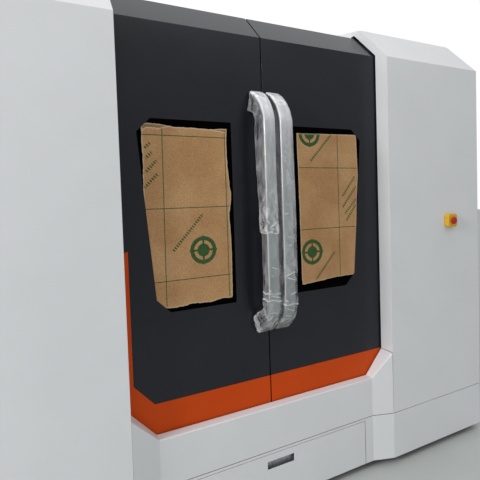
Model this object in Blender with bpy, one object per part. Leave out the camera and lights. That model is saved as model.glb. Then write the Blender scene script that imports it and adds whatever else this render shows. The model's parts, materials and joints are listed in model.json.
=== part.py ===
# Enclosed gantry laser cutting machine with a double sliding door.
# Metres, +Z up, +X to the right, doors facing -Y. The origin is on the floor under the middle.
import math

import bmesh
import bpy
from mathutils import Vector

# General
sheet = 0.002                # enclosure sheet thickness
seat = 0.0003                # gap between two pieces that touch
sheet_joint = 0.003          # open joint between two casing sheets

# Enclosure
overall_width = 2.70
overall_depth = 2.10
skirt_height = 0.04          # floor to the lower edge of the casing
seam_height = 0.276          # joint between the kick panel and the front casing
casing_proud = 0.086         # side casing in front of the door face
sill_proud = 0.051           # panel under the doors in front of the door face
casing_fold_drop = 0.0265    # casing fold below the door fold
casing_bevel_run = 0.184
casing_bevel_rise = 0.198
roof_run = 0.40              # door face to the front of the level roof
roof_rise = 0.068
hood_run = 0.16              # door face to the front edge of the roof over the doors
hood_drop = 0.092            # that edge below the level roof
hood_lip = 0.03
sill_end = 0.0015            # end of the sill panel inside the edge of the opening

# Door opening
sill_height = 0.47
opening_width = 1.3194
corner_run = 0.1106          # cut-off lower corner of the opening
corner_rise = 0.1214
reveal_gap = 0.008           # reveal edge to door face
bulkhead_drop = 0.18         # reveal plate behind the doors, below the casing top

# Doors
meet_offset = -0.01365       # the doors meet a little left of the middle
door_width = 0.705
door_face_height = 1.65      # sill to the fold
door_bevel_run = 0.137
door_bevel_rise = 0.1405
door_below_sill = 0.02
door_half_gap = 0.003
door_flange = 0.03
trim_thickness = 0.0015
trim_height = 0.1218         # coloured band above the sill
trim_side_width = 0.0913     # upright band on the left door
trim_side_height = 0.745
trim_side_slope = 0.0373
trim_corner_run = 0.081
trim_corner_rise = 0.090
window_inner = 0.158         # from the line where the doors meet
window_outer = 0.5645
window_bottom = 0.4825       # above the sill
window_top = 1.266
window_slant = 0.054
window_top_corner = 0.055
window_bottom_corner = 0.0565
pane_margin = 0.028          # pane wider than its window on each side
pane_thickness = 0.005
paper_thickness = 0.0003
paper_low = 0.019            # paper's lower edge above the window's
paper_high = 0.028           # paper's upper edge below the window's
paper_inner = 0.023
paper_outer = 0.016
frame_tube = 0.030
frame_head_drop = 0.055      # top of the door frame below the fold

# Door handles, wrapped in film
handle_offset = 0.0395       # handle middle from the line where the doors meet
handle_low = 0.345           # lower foot above the sill
handle_high = 1.395
handle_width = 0.052
handle_depth = 0.022
handle_reach = 0.130         # door face to the front of the bar
handle_curve = 0.14          # height of each curved end
handle_bend = 1.25           # 1 bends the ends as quarter ellipses, more flattens them
film_wall = 0.001
film_width = 0.068
film_depth = 0.066
film_end_depth = 0.034
film_end = 0.012             # film edge to the door face

# Door track
track_drop = 0.09            # track beam below the fold
track_height = 0.06
track_back = 0.060           # door face to the front of the track beam
track_depth = 0.040
runner_height = 0.015
runner_depth = 0.018
block_length = 0.08
block_lip = 0.010
guide_thickness = 0.018
guide_height = 0.030

# Bed
bed_front = 0.22             # door face to the front of the bed
bed_back_gap = 0.2567        # back of the bed to the rear sheet
bed_width = 1.90
bed_top = 0.84
beam_width = 0.10
beam_height = 0.12
leg_width = 0.11
cross_drop = 0.12            # cross beam top below the bed top
cross_height = 0.10
leg_bottom = 0.055
base_bar = 0.025
base_bar_width = 0.09
rear_bar_width = 0.17
foot_radius = 0.045
foot_thickness = 0.012
stud_radius = 0.012

# Cutting table
table_width = 1.48
table_bar_width = 0.06
table_bar_height = 0.065
slat_count = 18
slat_thickness = 0.003
slat_height = 0.070
slat_tooth = 0.020
slat_teeth = 7
slat_sink = 0.030            # slat seated in the table bars

# Gantry
rail_width = 0.024
rail_height = 0.024
rack_width = 0.020
rack_from_rail = 0.016       # gap between rail and rack
rail_end = 0.03              # rail ends inside the bed
gantry_rest = 1.10           # door face to the middle of the gantry
end_plate_height = 0.036
end_plate_front = 0.14
end_plate_back = 0.125
end_plate_width = 0.145
plate_lip = 0.018
plate_lip_drop = 0.019
gantry_beam_depth = 0.15
gantry_beam_height = 0.18
gantry_beam_wall = 0.012
gantry_beam_front = 0.13     # in front of the gantry middle
pinion_radius = 0.020
pinion_height = 0.018
shaft_radius = 0.008
shaft_clearance = 0.0005
motor_behind = 0.075         # gantry motor behind the gantry middle
motor_width = 0.080
motor_height = 0.21
cross_rail = 0.020
cross_rail_inset = 0.02      # rails from the beam's lower and upper edges
cross_rail_end = 0.14        # rails end inside the beam ends
cross_rack_height = 0.062    # rack above the beam's lower edge

# Carriage and cutting head
carriage_rest = 0.20
carriage_width = 0.26
carriage_plate = 0.012
carriage_below = 0.02
carriage_above = 0.20
carriage_motor_side = 0.075
carriage_motor_width = 0.060
carriage_motor_length = 0.12
lift_side = 0.05             # lift screw beside the carriage middle
lift_width = 0.12
lift_space = 0.030           # carriage plate to lift plate
lift_plate = 0.014
lift_plate_height = 0.21
screw_radius = 0.006
screw_clearance = 0.0005
nut_size = 0.024
lift_rail_width = 0.014
lift_rail_spread = 0.084
lift_motor_width = 0.056
lift_motor_height = 0.11
shelf_thickness = 0.012
head_width = 0.064
head_gap_above_nozzle = 0.045
head_height = 0.30
head_cone = 0.030            # height of the cone above the nozzle
head_cone_radius = 0.0272
head_block = 0.060           # lens block above the head's lower end
head_block_height = 0.105
head_tube_radius = 0.0256
head_shoulder = 0.036        # start of the tube's shoulder below the top
head_neck = 0.024
head_neck_radius = 0.0144
nozzle_height = 0.95         # nozzle tip above the floor at rest
nozzle_radius = 0.017
nozzle_tip_radius = 0.004
nozzle_shoulder = 0.020      # hexagon above the tip
nozzle_cone_radius = 0.0136

# Scrap drawer
drawer_side = 0.0491         # cut-off corner of the door opening to the drawer opening
drawer_high = 0.262
drawer_edge = 0.003
drawer_front_depth = 0.018
tray_inset = 0.02
tray_wall = 0.002
tray_depth = 1.20
finger_width = 0.14          # finger slot in the drawer front
finger_height = 0.036
finger_drop = 0.030          # slot below the top of the front

# Rear
service_width = 0.72
service_low = 0.35
service_high = 1.75
service_side = 0.10          # hinge line right of the middle, seen from the front
service_gap = 0.003
service_flange = 0.018
barrel_radius = 0.006
barrel_length = 0.05
barrel_sides = 16
hinge_leaf = 0.024           # leaf on the sheet, from the hinge line
hinge_web = 0.0042           # strip between the leaf and the barrel
hinge_web_offset = 0.0036    # its middle beside the hinge line
barrel_in = 0.15             # hinges from the ends of the service door
latch_radius = 0.014
latch_face = 0.0098          # radius of the lock's flat face
latch_rim = 0.0072           # height of its straight rim
latch_in = 0.056             # lock from the door's free edge
latch_depth = 0.012          # proud of the rear wall, as far back as anything reaches
vent_rows = 7
vent_pitch = 0.030
vent_height = 0.010
vent_width = 0.40
vent_low = 1.35
vent_side = -0.75
source_width = 0.50
source_depth = 0.16
source_height = 0.62
source_side = -0.62
source_grille = 0.05         # case round the sunk panel at the back
source_grille_end = 0.0744
drive_width = 0.60
drive_low = 0.30
drive_height = 1.25
drive_back = 0.004
drive_module = 0.11
drive_rows = ((0.02, 0.22, 3), (0.34, 0.26, 4), (0.72, 0.13, 6), (0.97, 0.20, 2))  # start, height, modules
module_space = 0.02          # between two modules of the narrowest row
collar_side = 0.62
collar_from_rear = 0.45
collar_radius = 0.10
collar_height = 0.08
collar_rim = 0.022

# Stop button
stop_side = 1.10
stop_height = 1.25
stop_box = 0.072
stop_box_depth = 0.026
stop_radius = 0.020
stop_stem = 0.011
stop_cap = 0.010
stop_cap_edge = 0.006        # straight rim of the mushroom head
stop_cap_face = 0.014        # radius of its flat face
stop_corner = 0.009
stop_travel = 0.004

# Places worked out from the sizes
half_width = overall_width / 2
inside_x = half_width - sheet - seat
film_front = handle_reach + film_wall + seat
face_y = -overall_depth / 2 + film_front
rear_y = overall_depth / 2 - latch_depth
casing_y = face_y - casing_proud
sill_y = face_y - sill_proud
half_opening = opening_width / 2
corner_x = half_opening - corner_run
drawer_half = corner_x - drawer_side
corner_z = sill_height + corner_rise
fold_z = sill_height + door_face_height
door_top_y = face_y + door_bevel_run
door_top_z = fold_z + door_bevel_rise
casing_fold_z = fold_z - casing_fold_drop
casing_top_y = casing_y + casing_bevel_run
casing_top_z = casing_fold_z + casing_bevel_rise
roof_y = face_y + roof_run
roof_z = casing_top_z + roof_rise
hood_y = face_y + hood_run
hood_z = roof_z - hood_drop
kick_top = seam_height - sheet_joint
door_bottom = sill_height - door_below_sill
skin_back = face_y + sheet
paper_y = skin_back + seat
pane_y = paper_y + paper_thickness + seat
frame_y = skin_back + seat
frame_back = frame_y + frame_tube
frame_top = fold_z - frame_head_drop
track_top = fold_z - track_drop
track_y = face_y + track_back
runner_z = track_top - track_height / 2
bed_y = face_y + bed_front
bed_back = rear_y - bed_back_gap
half_bed = bed_width / 2
beam_inner = half_bed - beam_width
cross_top = bed_top - cross_drop
leg_x = half_bed - beam_width / 2
rail_z = bed_top + seat
rail_top = rail_z + rail_height
rack_outer = leg_x - rail_width / 2 - rack_from_rail
rack_inner = rack_outer - rack_width
pinion_x = rack_inner - pinion_radius - seat
gantry_y = face_y + gantry_rest
plate_z = rail_top + seat
plate_top = plate_z + end_plate_height
plate_outer = leg_x + rail_width / 2 + seat + plate_lip
plate_inner = plate_outer - end_plate_width
beam_front = gantry_y - gantry_beam_front
beam_z = plate_top + seat
beam_top = beam_z + gantry_beam_height
beam_x = half_bed - seat
motor_y = gantry_y + motor_behind
low_rail_z = beam_z + cross_rail_inset
high_rail_z = beam_top - cross_rail_inset - cross_rail
cross_rail_y = beam_front - seat - cross_rail
cross_rack_z = beam_z + cross_rack_height
cross_pinion_z = cross_rack_z + cross_rail + pinion_radius + seat
carriage_back = cross_rail_y - seat
carriage_front = carriage_back - carriage_plate
carriage_low = beam_z - carriage_below
carriage_high = beam_top + carriage_above
screw_x = carriage_rest + lift_side
screw_y = carriage_front - lift_space / 2
lift_back = carriage_front - lift_space
lift_front = lift_back - lift_plate
head_y = lift_front - seat - head_width / 2
head_low = nozzle_height + head_gap_above_nozzle
lift_low = head_low + head_gap_above_nozzle
lift_high = lift_low + lift_plate_height
tray_low = leg_bottom + sheet + base_bar + seat


def clear_scene():
    """Remove what the file opens with."""
    for thing in list(bpy.data.objects):
        bpy.data.objects.remove(thing, do_unlink=True)


def material(name, colour, roughness, metallic=0.0, alpha=1.0):
    """Principled material from a linear colour."""
    made = bpy.data.materials.new(name)
    made.use_nodes = True
    shader = made.node_tree.nodes["Principled BSDF"]
    shader.inputs["Base Color"].default_value = (*colour, 1.0)
    shader.inputs["Roughness"].default_value = roughness
    shader.inputs["Metallic"].default_value = metallic
    shader.inputs["Alpha"].default_value = alpha
    made.diffuse_color = (*colour, alpha)
    return made


def make_materials():
    """One material for each finish of the machine."""
    return {
        "white": material("white_paint", (0.58, 0.59, 0.60), 0.35),
        "dark": material("dark_paint", (0.025, 0.026, 0.032), 0.25),
        "orange": material("orange_paint", (0.55, 0.06, 0.008), 0.25),
        "glass": material("dark_acrylic", (0.01, 0.011, 0.012), 0.1),
        "paper": material("kraft_paper", (0.35, 0.19, 0.09), 0.85),
        "film": material("film", (0.6, 0.62, 0.63), 0.3, alpha=0.5),
        "bright": material("bare_aluminium", (0.6, 0.61, 0.62), 0.35, 1.0),
        "steel": material("ground_steel", (0.45, 0.45, 0.46), 0.35, 1.0),
        "grey": material("grey_machine_paint", (0.12, 0.13, 0.14), 0.45),
        "zinc": material("zinc_sheet", (0.5, 0.51, 0.52), 0.45, 1.0),
        "black": material("black_paint", (0.012, 0.012, 0.013), 0.4),
        "brass": material("brass", (0.7, 0.42, 0.13), 0.3, 1.0),
        "red": material("red_plastic", (0.6, 0.01, 0.01), 0.3),
        "yellow": material("yellow_plastic", (0.8, 0.5, 0.02), 0.35),
    }


def shape_from(points, faces):
    """Closed shape from its corners and faces, facing outwards."""
    shape = bmesh.new()
    corners = [shape.verts.new(point) for point in points]
    for face in faces:
        shape.faces.new([corners[index] for index in face])
    bmesh.ops.recalc_face_normals(shape, faces=shape.faces)
    return shape


def prism(outline, axis, low, high):
    """Outline drawn across an axis (YZ, XZ or XY), drawn out from low to high along it."""
    def corner(point, level):
        u, v = point
        return {"X": (level, u, v), "Y": (u, level, v), "Z": (u, v, level)}[axis]

    count = len(outline)
    points = [corner(point, low) for point in outline] + [corner(point, high) for point in outline]
    faces = [tuple(range(count)), tuple(range(count, 2 * count))]
    for index in range(count):
        after = (index + 1) % count
        faces.append((index, after, count + after, count + index))
    return shape_from(points, faces)


def box(low, high):
    """Box between two corners."""
    outline = [(low[0], low[1]), (high[0], low[1]), (high[0], high[1]), (low[0], high[1])]
    return prism(outline, "Z", low[2], high[2])


def circle(centre, radius, sides):
    """Corners of a regular outline round a centre."""
    turn = 2 * math.pi / sides
    return [(centre[0] + radius * math.cos(turn * (step + 0.5)),
             centre[1] + radius * math.sin(turn * (step + 0.5))) for step in range(sides)]


def rod(axis, centre, radius, low, high, sides=20):
    """Round bar along an axis."""
    return prism(circle(centre, radius, sides), axis, low, high)


def turned(profile, centre, axis="Z", sides=24):
    """Profile of (radius, height) pairs turned about an axis, closed at both ends by flat discs."""
    points = []
    for radius, level in profile:
        for u, v in circle(centre, radius, sides):
            points.append({"Z": (u, v, level), "Y": (u, level, v)}[axis])
    faces = [tuple(range(sides)), tuple(range(len(points) - sides, len(points)))]
    for ring in range(len(profile) - 1):
        for step in range(sides):
            after = (step + 1) % sides
            start = ring * sides
            faces.append((start + step, start + after, start + sides + after, start + sides + step))
    return shape_from(points, faces)


def holder(name, shape):
    """Working object that holds a shape for a modifier."""
    mesh = bpy.data.meshes.new(name)
    shape.to_mesh(mesh)
    made = bpy.data.objects.new(name, mesh)
    bpy.context.scene.collection.objects.link(made)
    return made


def evaluated_shape(made):
    """What the object's modifiers give, as a shape."""
    bpy.context.view_layer.update()
    graph = bpy.context.evaluated_depsgraph_get()
    seen = made.evaluated_get(graph)
    shape = bmesh.new()
    shape.from_mesh(seen.to_mesh())
    seen.to_mesh_clear()
    return shape


def combine(shape, tools, operation):
    """Join tools to a shape, or cut them from it, one after another."""
    work = holder("work", shape)
    helpers = []
    for tool in tools:
        helper = holder("tool", tool)
        step = work.modifiers.new("step", "BOOLEAN")
        step.operation = operation
        step.solver = "EXACT"
        step.object = helper
        helpers.append(helper)
    result = evaluated_shape(work)
    for used in [work] + helpers:
        bpy.data.objects.remove(used, do_unlink=True)
    return result


def fuse(shapes):
    """One welded shape from several that overlap."""
    return combine(shapes[0], shapes[1:], "UNION")


def cut(shape, cutters):
    """Shape with the cutters taken away."""
    return combine(shape, cutters, "DIFFERENCE")


def folded_sheet(faces, thickness):
    """Sheet metal from its outer faces, each given with a direction it looks towards."""
    shape = bmesh.new()
    known = {}
    for towards, points in faces:
        corners = []
        for point in points:
            key = tuple(round(value, 6) for value in point)
            if key not in known:
                known[key] = shape.verts.new(point)
            corners.append(known[key])
        face = shape.faces.new(corners)
        face.normal_update()
        if face.normal.dot(Vector(towards)) < 0:
            face.normal_flip()
    work = holder("sheet", shape)
    wall = work.modifiers.new("wall", "SOLIDIFY")
    wall.thickness = thickness
    wall.offset = -1
    wall.solidify_mode = "NON_MANIFOLD"
    wall.nonmanifold_thickness_mode = "CONSTRAINTS"
    result = evaluated_shape(work)
    bpy.data.objects.remove(work, do_unlink=True)
    return result


def rounded_section(width, depth, radius, steps=2):
    """Rounded rectangle about its middle, width across and depth along the bend."""
    points = []
    for quarter in range(4):
        sign_u = 1 if quarter in (0, 3) else -1
        sign_v = 1 if quarter in (0, 1) else -1
        for step in range(steps + 1):
            angle = (quarter + step / steps) * math.pi / 2
            points.append((sign_u * (width / 2 - radius) + radius * math.cos(angle),
                           sign_v * (depth / 2 - radius) + radius * math.sin(angle)))
    return points


def bow_path(low, high, reach, curve, steps=6):
    """Stations (y, z, tangent, share) of a bow: out from the door, up, and back, along flattened ellipses."""
    stations = []
    for step in range(steps + 1):
        angle = math.pi / 2 * step / steps
        out, up = max(math.sin(angle), 1e-6), max(math.cos(angle), 1e-6)
        share = out ** handle_bend
        tangent = Vector((0, -reach * share / out * up, curve * up ** (handle_bend - 1) * math.sin(angle)))
        stations.append((-reach * share, low + curve * (1 - up ** handle_bend), tangent.normalized(), share))
    upper = []
    for y, z, tangent, share in reversed(stations):
        upper.append((y, high + low - z, Vector((0, -tangent.y, tangent.z)), share))
    return stations + upper


def sweep(rings):
    """Closed bar through rings of points, with flat ends."""
    count = len(rings[0])
    points = [point for ring in rings for point in ring]
    faces = [tuple(range(count)), tuple(range(len(points) - count, len(points)))]
    for ring in range(len(rings) - 1):
        for step in range(count):
            after = (step + 1) % count
            start = ring * count
            faces.append((start + step, start + after, start + count + after, start + count + step))
    return shape_from(points, faces)


def sleeve(outer, inner):
    """Open-ended tube between two sets of rings."""
    count = len(outer[0])
    points = [point for ring in outer + inner for point in ring]
    offset = len(outer) * count
    faces = []
    for base in (0, offset):
        for ring in range(len(outer) - 1):
            for step in range(count):
                after = (step + 1) % count
                start = base + ring * count
                faces.append((start + step, start + after, start + count + after, start + count + step))
    for start in (0, (len(outer) - 1) * count):
        for step in range(count):
            after = (step + 1) % count
            faces.append((start + step, start + after, offset + start + after, offset + start + step))
    return shape_from(points, faces)


def body(name, place=(0, 0, 0), parent=None):
    """Empty that carries the pieces of one moving body."""
    made = bpy.data.objects.new("body_" + name, None)
    bpy.context.scene.collection.objects.link(made)
    made.empty_display_size = 0.1
    start = parent["place"] if parent else (0, 0, 0)
    made.location = Vector(place) - Vector(start)
    if parent:
        made.parent = parent["empty"]
    return {"empty": made, "place": place}


def add(name, shape, finish, carrier):
    """Turn a shape in world metres into a named object on the body that carries it."""
    place = Vector(carrier["place"])
    bmesh.ops.translate(shape, verts=shape.verts, vec=-place)
    mesh = bpy.data.meshes.new(name)
    shape.to_mesh(mesh)
    shape.free()
    mesh.materials.append(finish)
    mesh.shade_smooth()
    mesh.set_sharp_from_angle(angle=math.radians(35))
    made = bpy.data.objects.new(name, mesh)
    bpy.context.scene.collection.objects.link(made)
    made.parent = carrier["empty"]
    return made


def side_outline():
    """Outer outline of the casing seen from the side, as (y, z)."""
    return [(casing_y, skirt_height), (casing_y, casing_fold_z), (casing_top_y, casing_top_z),
            (roof_y, roof_z), (rear_y, roof_z), (rear_y, skirt_height)]


def front_casing(side):
    """White front of one side: face, bevel and the reveal beside the doors."""
    inner = side * half_opening
    outer = side * inside_x
    slope = door_bevel_rise / door_bevel_run
    normal = Vector((-door_bevel_rise, door_bevel_run)).normalized() * reveal_gap
    lip_y = face_y - reveal_gap
    lip_fold = fold_z + normal.y + (lip_y - face_y - normal.x) * slope
    lip_end = door_top_y + reveal_gap
    lip_top = lip_fold + (lip_end - lip_y) * slope
    bulk_y = hood_y + sheet + reveal_gap
    bulk_z = casing_top_z - bulkhead_drop
    edge = roof_y - sheet_joint
    edge_z = casing_top_z + roof_rise * (edge - casing_top_y) / (roof_y - casing_top_y)
    front = [(inner, casing_y, seam_height), (outer, casing_y, seam_height),
             (outer, casing_y, casing_fold_z), (inner, casing_y, casing_fold_z),
             (inner, casing_y, corner_z)]
    bevel = [(inner, casing_y, casing_fold_z), (outer, casing_y, casing_fold_z),
             (outer, casing_top_y, casing_top_z), (inner, casing_top_y, casing_top_z)]
    reveal = [(inner, casing_y, corner_z), (inner, casing_y, casing_fold_z),
              (inner, casing_top_y, casing_top_z), (inner, edge, edge_z), (inner, edge, bulk_z),
              (inner, bulk_y, bulk_z), (inner, bulk_y, lip_top), (inner, lip_end, lip_top),
              (inner, lip_y, lip_fold), (inner, lip_y, corner_z)]
    return folded_sheet([((0, -1, 0), front), ((0, -1, 1), bevel), ((-side, 0, 0), reveal)], sheet)


def sill_panel():
    """White panel under the doors, with its sill and the two slanted corners."""
    back = face_y - reveal_gap
    low = seam_height
    edge_x = half_opening - sill_end
    share = (edge_x - corner_x) / corner_run
    edge_y = sill_y + (casing_y - sill_y) * share
    edge_z = sill_height + corner_rise * share
    faces = [((0, -1, 0), [(-corner_x, sill_y, low), (corner_x, sill_y, low),
                           (corner_x, sill_y, sill_height), (-corner_x, sill_y, sill_height)]),
             ((0, 0, 1), [(-corner_x, sill_y, sill_height), (corner_x, sill_y, sill_height),
                          (corner_x, back, sill_height), (-corner_x, back, sill_height)])]
    for side in (-1, 1):
        faces.append(((0, -1, 0), [(side * corner_x, sill_y, low), (side * edge_x, edge_y, low),
                                   (side * edge_x, edge_y, edge_z),
                                   (side * corner_x, sill_y, sill_height)]))
        faces.append(((-side, 0, 1), [(side * corner_x, sill_y, sill_height),
                                      (side * edge_x, edge_y, edge_z), (side * edge_x, back, edge_z),
                                      (side * corner_x, back, sill_height)]))
    return folded_sheet(faces, sheet)


def kick_panel():
    """Lower white front across the whole width, open at its foot in the middle for the drawer."""
    columns = [(-inside_x, casing_y), (-half_opening, casing_y), (-corner_x, sill_y),
               (-drawer_half, sill_y), (drawer_half, sill_y), (corner_x, sill_y),
               (half_opening, casing_y), (inside_x, casing_y)]
    rows = [skirt_height, drawer_high, kick_top]
    faces = []
    for column in range(len(columns) - 1):
        for row in range(len(rows) - 1):
            if column == 3 and row == 0:
                continue
            (x_low, y_low), (x_high, y_high) = columns[column], columns[column + 1]
            z_low, z_high = rows[row], rows[row + 1]
            faces.append(((0, -1, 0), [(x_low, y_low, z_low), (x_high, y_high, z_low),
                                       (x_high, y_high, z_high), (x_low, y_low, z_high)]))
    return folded_sheet(faces, sheet)


def roof_panel():
    """Level roof, the slopes over both casings and the lower hood over the doors."""
    slope_x = half_opening + sheet + sheet_joint
    hood_x = half_opening - seat
    start_y = casing_top_y + sheet_joint
    start_z = casing_top_z + roof_rise * sheet_joint / (roof_y - casing_top_y)
    level = [(-inside_x, roof_y, roof_z), (-slope_x, roof_y, roof_z), (-hood_x, roof_y, roof_z),
             (hood_x, roof_y, roof_z), (slope_x, roof_y, roof_z), (inside_x, roof_y, roof_z),
             (inside_x, rear_y, roof_z), (-inside_x, rear_y, roof_z)]
    faces = [((0, 0, 1), level)]
    for side in (-1, 1):
        faces.append(((0, 0, 1), [(side * slope_x, start_y, start_z), (side * inside_x, start_y, start_z),
                                  (side * inside_x, roof_y, roof_z), (side * slope_x, roof_y, roof_z)]))
    faces.append(((0, 0, 1), [(-hood_x, hood_y, hood_z), (hood_x, hood_y, hood_z),
                              (hood_x, roof_y, roof_z), (-hood_x, roof_y, roof_z)]))
    faces.append(((0, -1, 0), [(-hood_x, hood_y, hood_z - hood_lip), (hood_x, hood_y, hood_z - hood_lip),
                               (hood_x, hood_y, hood_z), (-hood_x, hood_y, hood_z)]))
    roof = folded_sheet(faces, sheet)
    hole = rod("Z", (collar_side, rear_y - collar_from_rear), collar_radius - sheet,
               roof_z - 3 * sheet, roof_z + 3 * sheet, 32)
    return cut(roof, [hole])


def rear_wall():
    """Rear sheet with the service opening, vent slots and the fixed hinge barrels."""
    wall = box((-inside_x, rear_y - sheet, skirt_height),
               (inside_x, rear_y, roof_z - sheet - seat))
    cutters = [box((service_side - service_gap / 2, rear_y - 3 * sheet, service_low),
                   (service_side + service_width + service_gap, rear_y + 3 * sheet, service_high))]
    for row in range(vent_rows):
        low = vent_low + row * vent_pitch
        cutters.append(box((vent_side - vent_width / 2, rear_y - 3 * sheet, low),
                           (vent_side + vent_width / 2, rear_y + 3 * sheet, low + vent_height)))
    wall = cut(wall, cutters)
    return fuse([wall] + [barrel(level, -1) for level in hinge_levels()])


def hinge_levels():
    """Heights where the lower and the upper hinge of the service door are split."""
    return [service_low + barrel_in, service_high - barrel_in]


def barrel(level, side):
    """Half of a hinge: on the wall below the split (side -1) or on the door above it (side 1)."""
    low, high = sorted((level + side * seat / 2, level + side * barrel_length / 2))
    axis_y = rear_y + barrel_radius
    flat_radius = barrel_radius * math.cos(math.pi / barrel_sides)
    knuckle = rod("Z", (service_side, axis_y), flat_radius, low, high, barrel_sides)
    near = service_side + side * (service_gap / 2 + seat)
    leaf_low, leaf_high = sorted((near, near + side * hinge_leaf))
    leaf = box((leaf_low, rear_y - sheet / 2, low + seat), (leaf_high, rear_y + sheet / 2, high - seat))
    web_x = service_side + side * hinge_web_offset
    web = box((web_x - hinge_web / 2, rear_y, low + seat), (web_x + hinge_web / 2, axis_y, high - seat))
    return fuse([knuckle, web, leaf])


def service_door():
    """Hinged sheet door at the back, folded in all round."""
    x_low, x_high = service_side + service_gap / 2, service_side + service_width - service_gap / 2
    z_low, z_high = service_low + service_gap, service_high - service_gap
    back = rear_y - service_flange
    faces = [((0, 1, 0), [(x_low, rear_y, z_low), (x_high, rear_y, z_low),
                          (x_high, rear_y, z_high), (x_low, rear_y, z_high)])]
    for x, towards in ((x_low, -1), (x_high, 1)):
        faces.append(((towards, 0, 0), [(x, rear_y, z_low), (x, rear_y, z_high),
                                        (x, back, z_high), (x, back, z_low)]))
    for z, towards in ((z_low, -1), (z_high, 1)):
        faces.append(((0, 0, towards), [(x_low, rear_y, z), (x_high, rear_y, z),
                                        (x_high, back, z), (x_low, back, z)]))
    door = folded_sheet(faces, sheet)
    centre = (x_high - latch_in, (z_low + z_high) / 2)
    lock = turned([(latch_radius, rear_y - sheet / 2), (latch_radius, rear_y + latch_rim),
                   (latch_face, rear_y + latch_depth)], centre, "Y")
    return fuse([door, lock] + [barrel(level, 1) for level in hinge_levels()])


def door_span(side):
    """Left and right edge of one door."""
    meet = meet_offset + side * door_half_gap
    far = meet + side * door_width
    return min(meet, far), max(meet, far)


def door_edge_outline():
    """Turned-in edge of a door seen from the side, as (y, z): a band behind the face and the bevel."""
    normal = Vector((door_bevel_rise, -door_bevel_run)).normalized() * door_flange
    slope = door_bevel_rise / door_bevel_run
    inner_y = face_y + door_flange
    inner_fold = fold_z + normal.y + (inner_y - face_y - normal.x) * slope
    return [(face_y, door_bottom), (face_y, fold_z), (door_top_y, door_top_z),
            (door_top_y + normal.x, door_top_z + normal.y), (inner_y, inner_fold),
            (inner_y, door_bottom)]


def door_skin(side):
    """Folded dark door sheet: face, bevel and turned-in edges, with the window cut out."""
    low, high = door_span(side)
    outline = door_edge_outline()
    faces = []
    for index, towards in ((0, (0, -1, 0)), (1, (0, -1, 1)), (5, (0, 0, -1))):
        (y_near, z_near), (y_far, z_far) = outline[index], outline[(index + 1) % 6]
        faces.append((towards, [(low, y_near, z_near), (high, y_near, z_near),
                                (high, y_far, z_far), (low, y_far, z_far)]))
    for x, towards in ((low, -1), (high, 1)):
        faces.append(((towards, 0, 0), [(x, y, z) for y, z in outline]))
    window = prism(window_outline(side, 0), "Y", face_y - sheet, face_y + 2 * sheet)
    return cut(folded_sheet(faces, sheet), [window])


def window_outline(side, grow):
    """Window outline as (x, z), enlarged by grow all round."""
    inner = window_inner - grow
    outer = window_outer + grow
    low = sill_height + window_bottom - grow
    high = sill_height + window_top + grow
    foot = outer - window_slant
    points = [(inner, low), (inner, high), (outer - window_top_corner, high),
              (outer, high - window_top_corner), (foot, low + window_bottom_corner),
              (foot - window_bottom_corner, low)]
    return [(meet_offset + side * x, z) for x, z in points]


def masking_paper(side):
    """Protective paper left on the pane, a little smaller than the window."""
    low = sill_height + window_bottom + paper_low
    high = sill_height + window_top - paper_high
    inner = window_inner + paper_inner
    outer = window_outer - paper_outer
    foot = outer - window_slant + paper_outer
    points = [(inner, low), (inner, high), (outer - window_top_corner / 2, high),
              (outer, high - window_top_corner / 2), (foot, low + window_bottom_corner),
              (foot - window_bottom_corner, low)]
    outline = [(meet_offset + side * x, z) for x, z in points]
    return prism(outline, "Y", paper_y, paper_y + paper_thickness)


def window_pane(side):
    """Flat acrylic pane behind the skin."""
    return prism(window_outline(side, pane_margin), "Y", pane_y, pane_y + pane_thickness)


def door_trim(side):
    """Coloured band along the foot of a door; the left one turns up along the outer edge."""
    low, high = door_span(side)
    top = sill_height + trim_height
    front = face_y - seat - trim_thickness
    outline = [(low, door_bottom), (high, door_bottom), (high, top)]
    if side > 0:
        outline.append((low, top))
    else:
        inner = low + trim_side_width
        outline += [(inner + trim_corner_run, top), (inner, top + trim_corner_rise),
                    (inner, sill_height + trim_side_height),
                    (low, sill_height + trim_side_height - trim_side_slope)]
    return prism(outline, "Y", front, face_y - seat)


def door_frame(side):
    """Tube frame behind the skin with the two track blocks welded to its head."""
    low, high = door_span(side)
    low += sheet + seat
    high -= sheet + seat
    bottom = door_bottom + sheet + seat
    parts = [box((low, frame_y, bottom), (low + frame_tube, frame_back, frame_top)),
             box((high - frame_tube, frame_y, bottom), (high, frame_back, frame_top)),
             box((low, frame_y, bottom), (high, frame_back, bottom + frame_tube)),
             box((low, frame_y, frame_top - frame_tube), (high, frame_back, frame_top))]
    runner_front = track_y - runner_depth
    block_low = runner_z - runner_height / 2 - seat - block_lip
    block_high = runner_z + runner_height / 2 + seat + block_lip
    for start in (low, high - block_length):
        block = box((start, frame_back - frame_tube / 2, block_low),
                    (start + block_length, track_y - seat, block_high))
        groove = box((start - block_lip, runner_front - seat, runner_z - runner_height / 2 - seat),
                     (start + block_length + block_lip, track_y, runner_z + runner_height / 2 + seat))
        parts.append(cut(block, [groove]))
        parts.append(box((start + block_lip, frame_y, block_low + block_lip / 2),
                         (start + block_length - block_lip, frame_back - frame_tube / 3,
                          frame_top - frame_tube / 2)))
    return fuse(parts)


def bow_rings(middle, inset, width, depth, end_depth, corner, skip):
    """Rings of a rounded section along the handle's bow; inset moves them towards the door."""
    centre_reach = handle_reach - handle_depth / 2
    stations = bow_path(sill_height + handle_low, sill_height + handle_high, centre_reach, handle_curve)
    rings = []
    for y, z, tangent, share in stations:
        inward = Vector((0, tangent.z, -tangent.y))
        section = rounded_section(width, end_depth + (depth - end_depth) * share, corner)
        centre = Vector((middle, face_y + min(y, -skip), z)) + inward * inset * share
        rings.append([centre + Vector((u, 0, 0)) + inward * v for u, v in section])
    return rings


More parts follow.
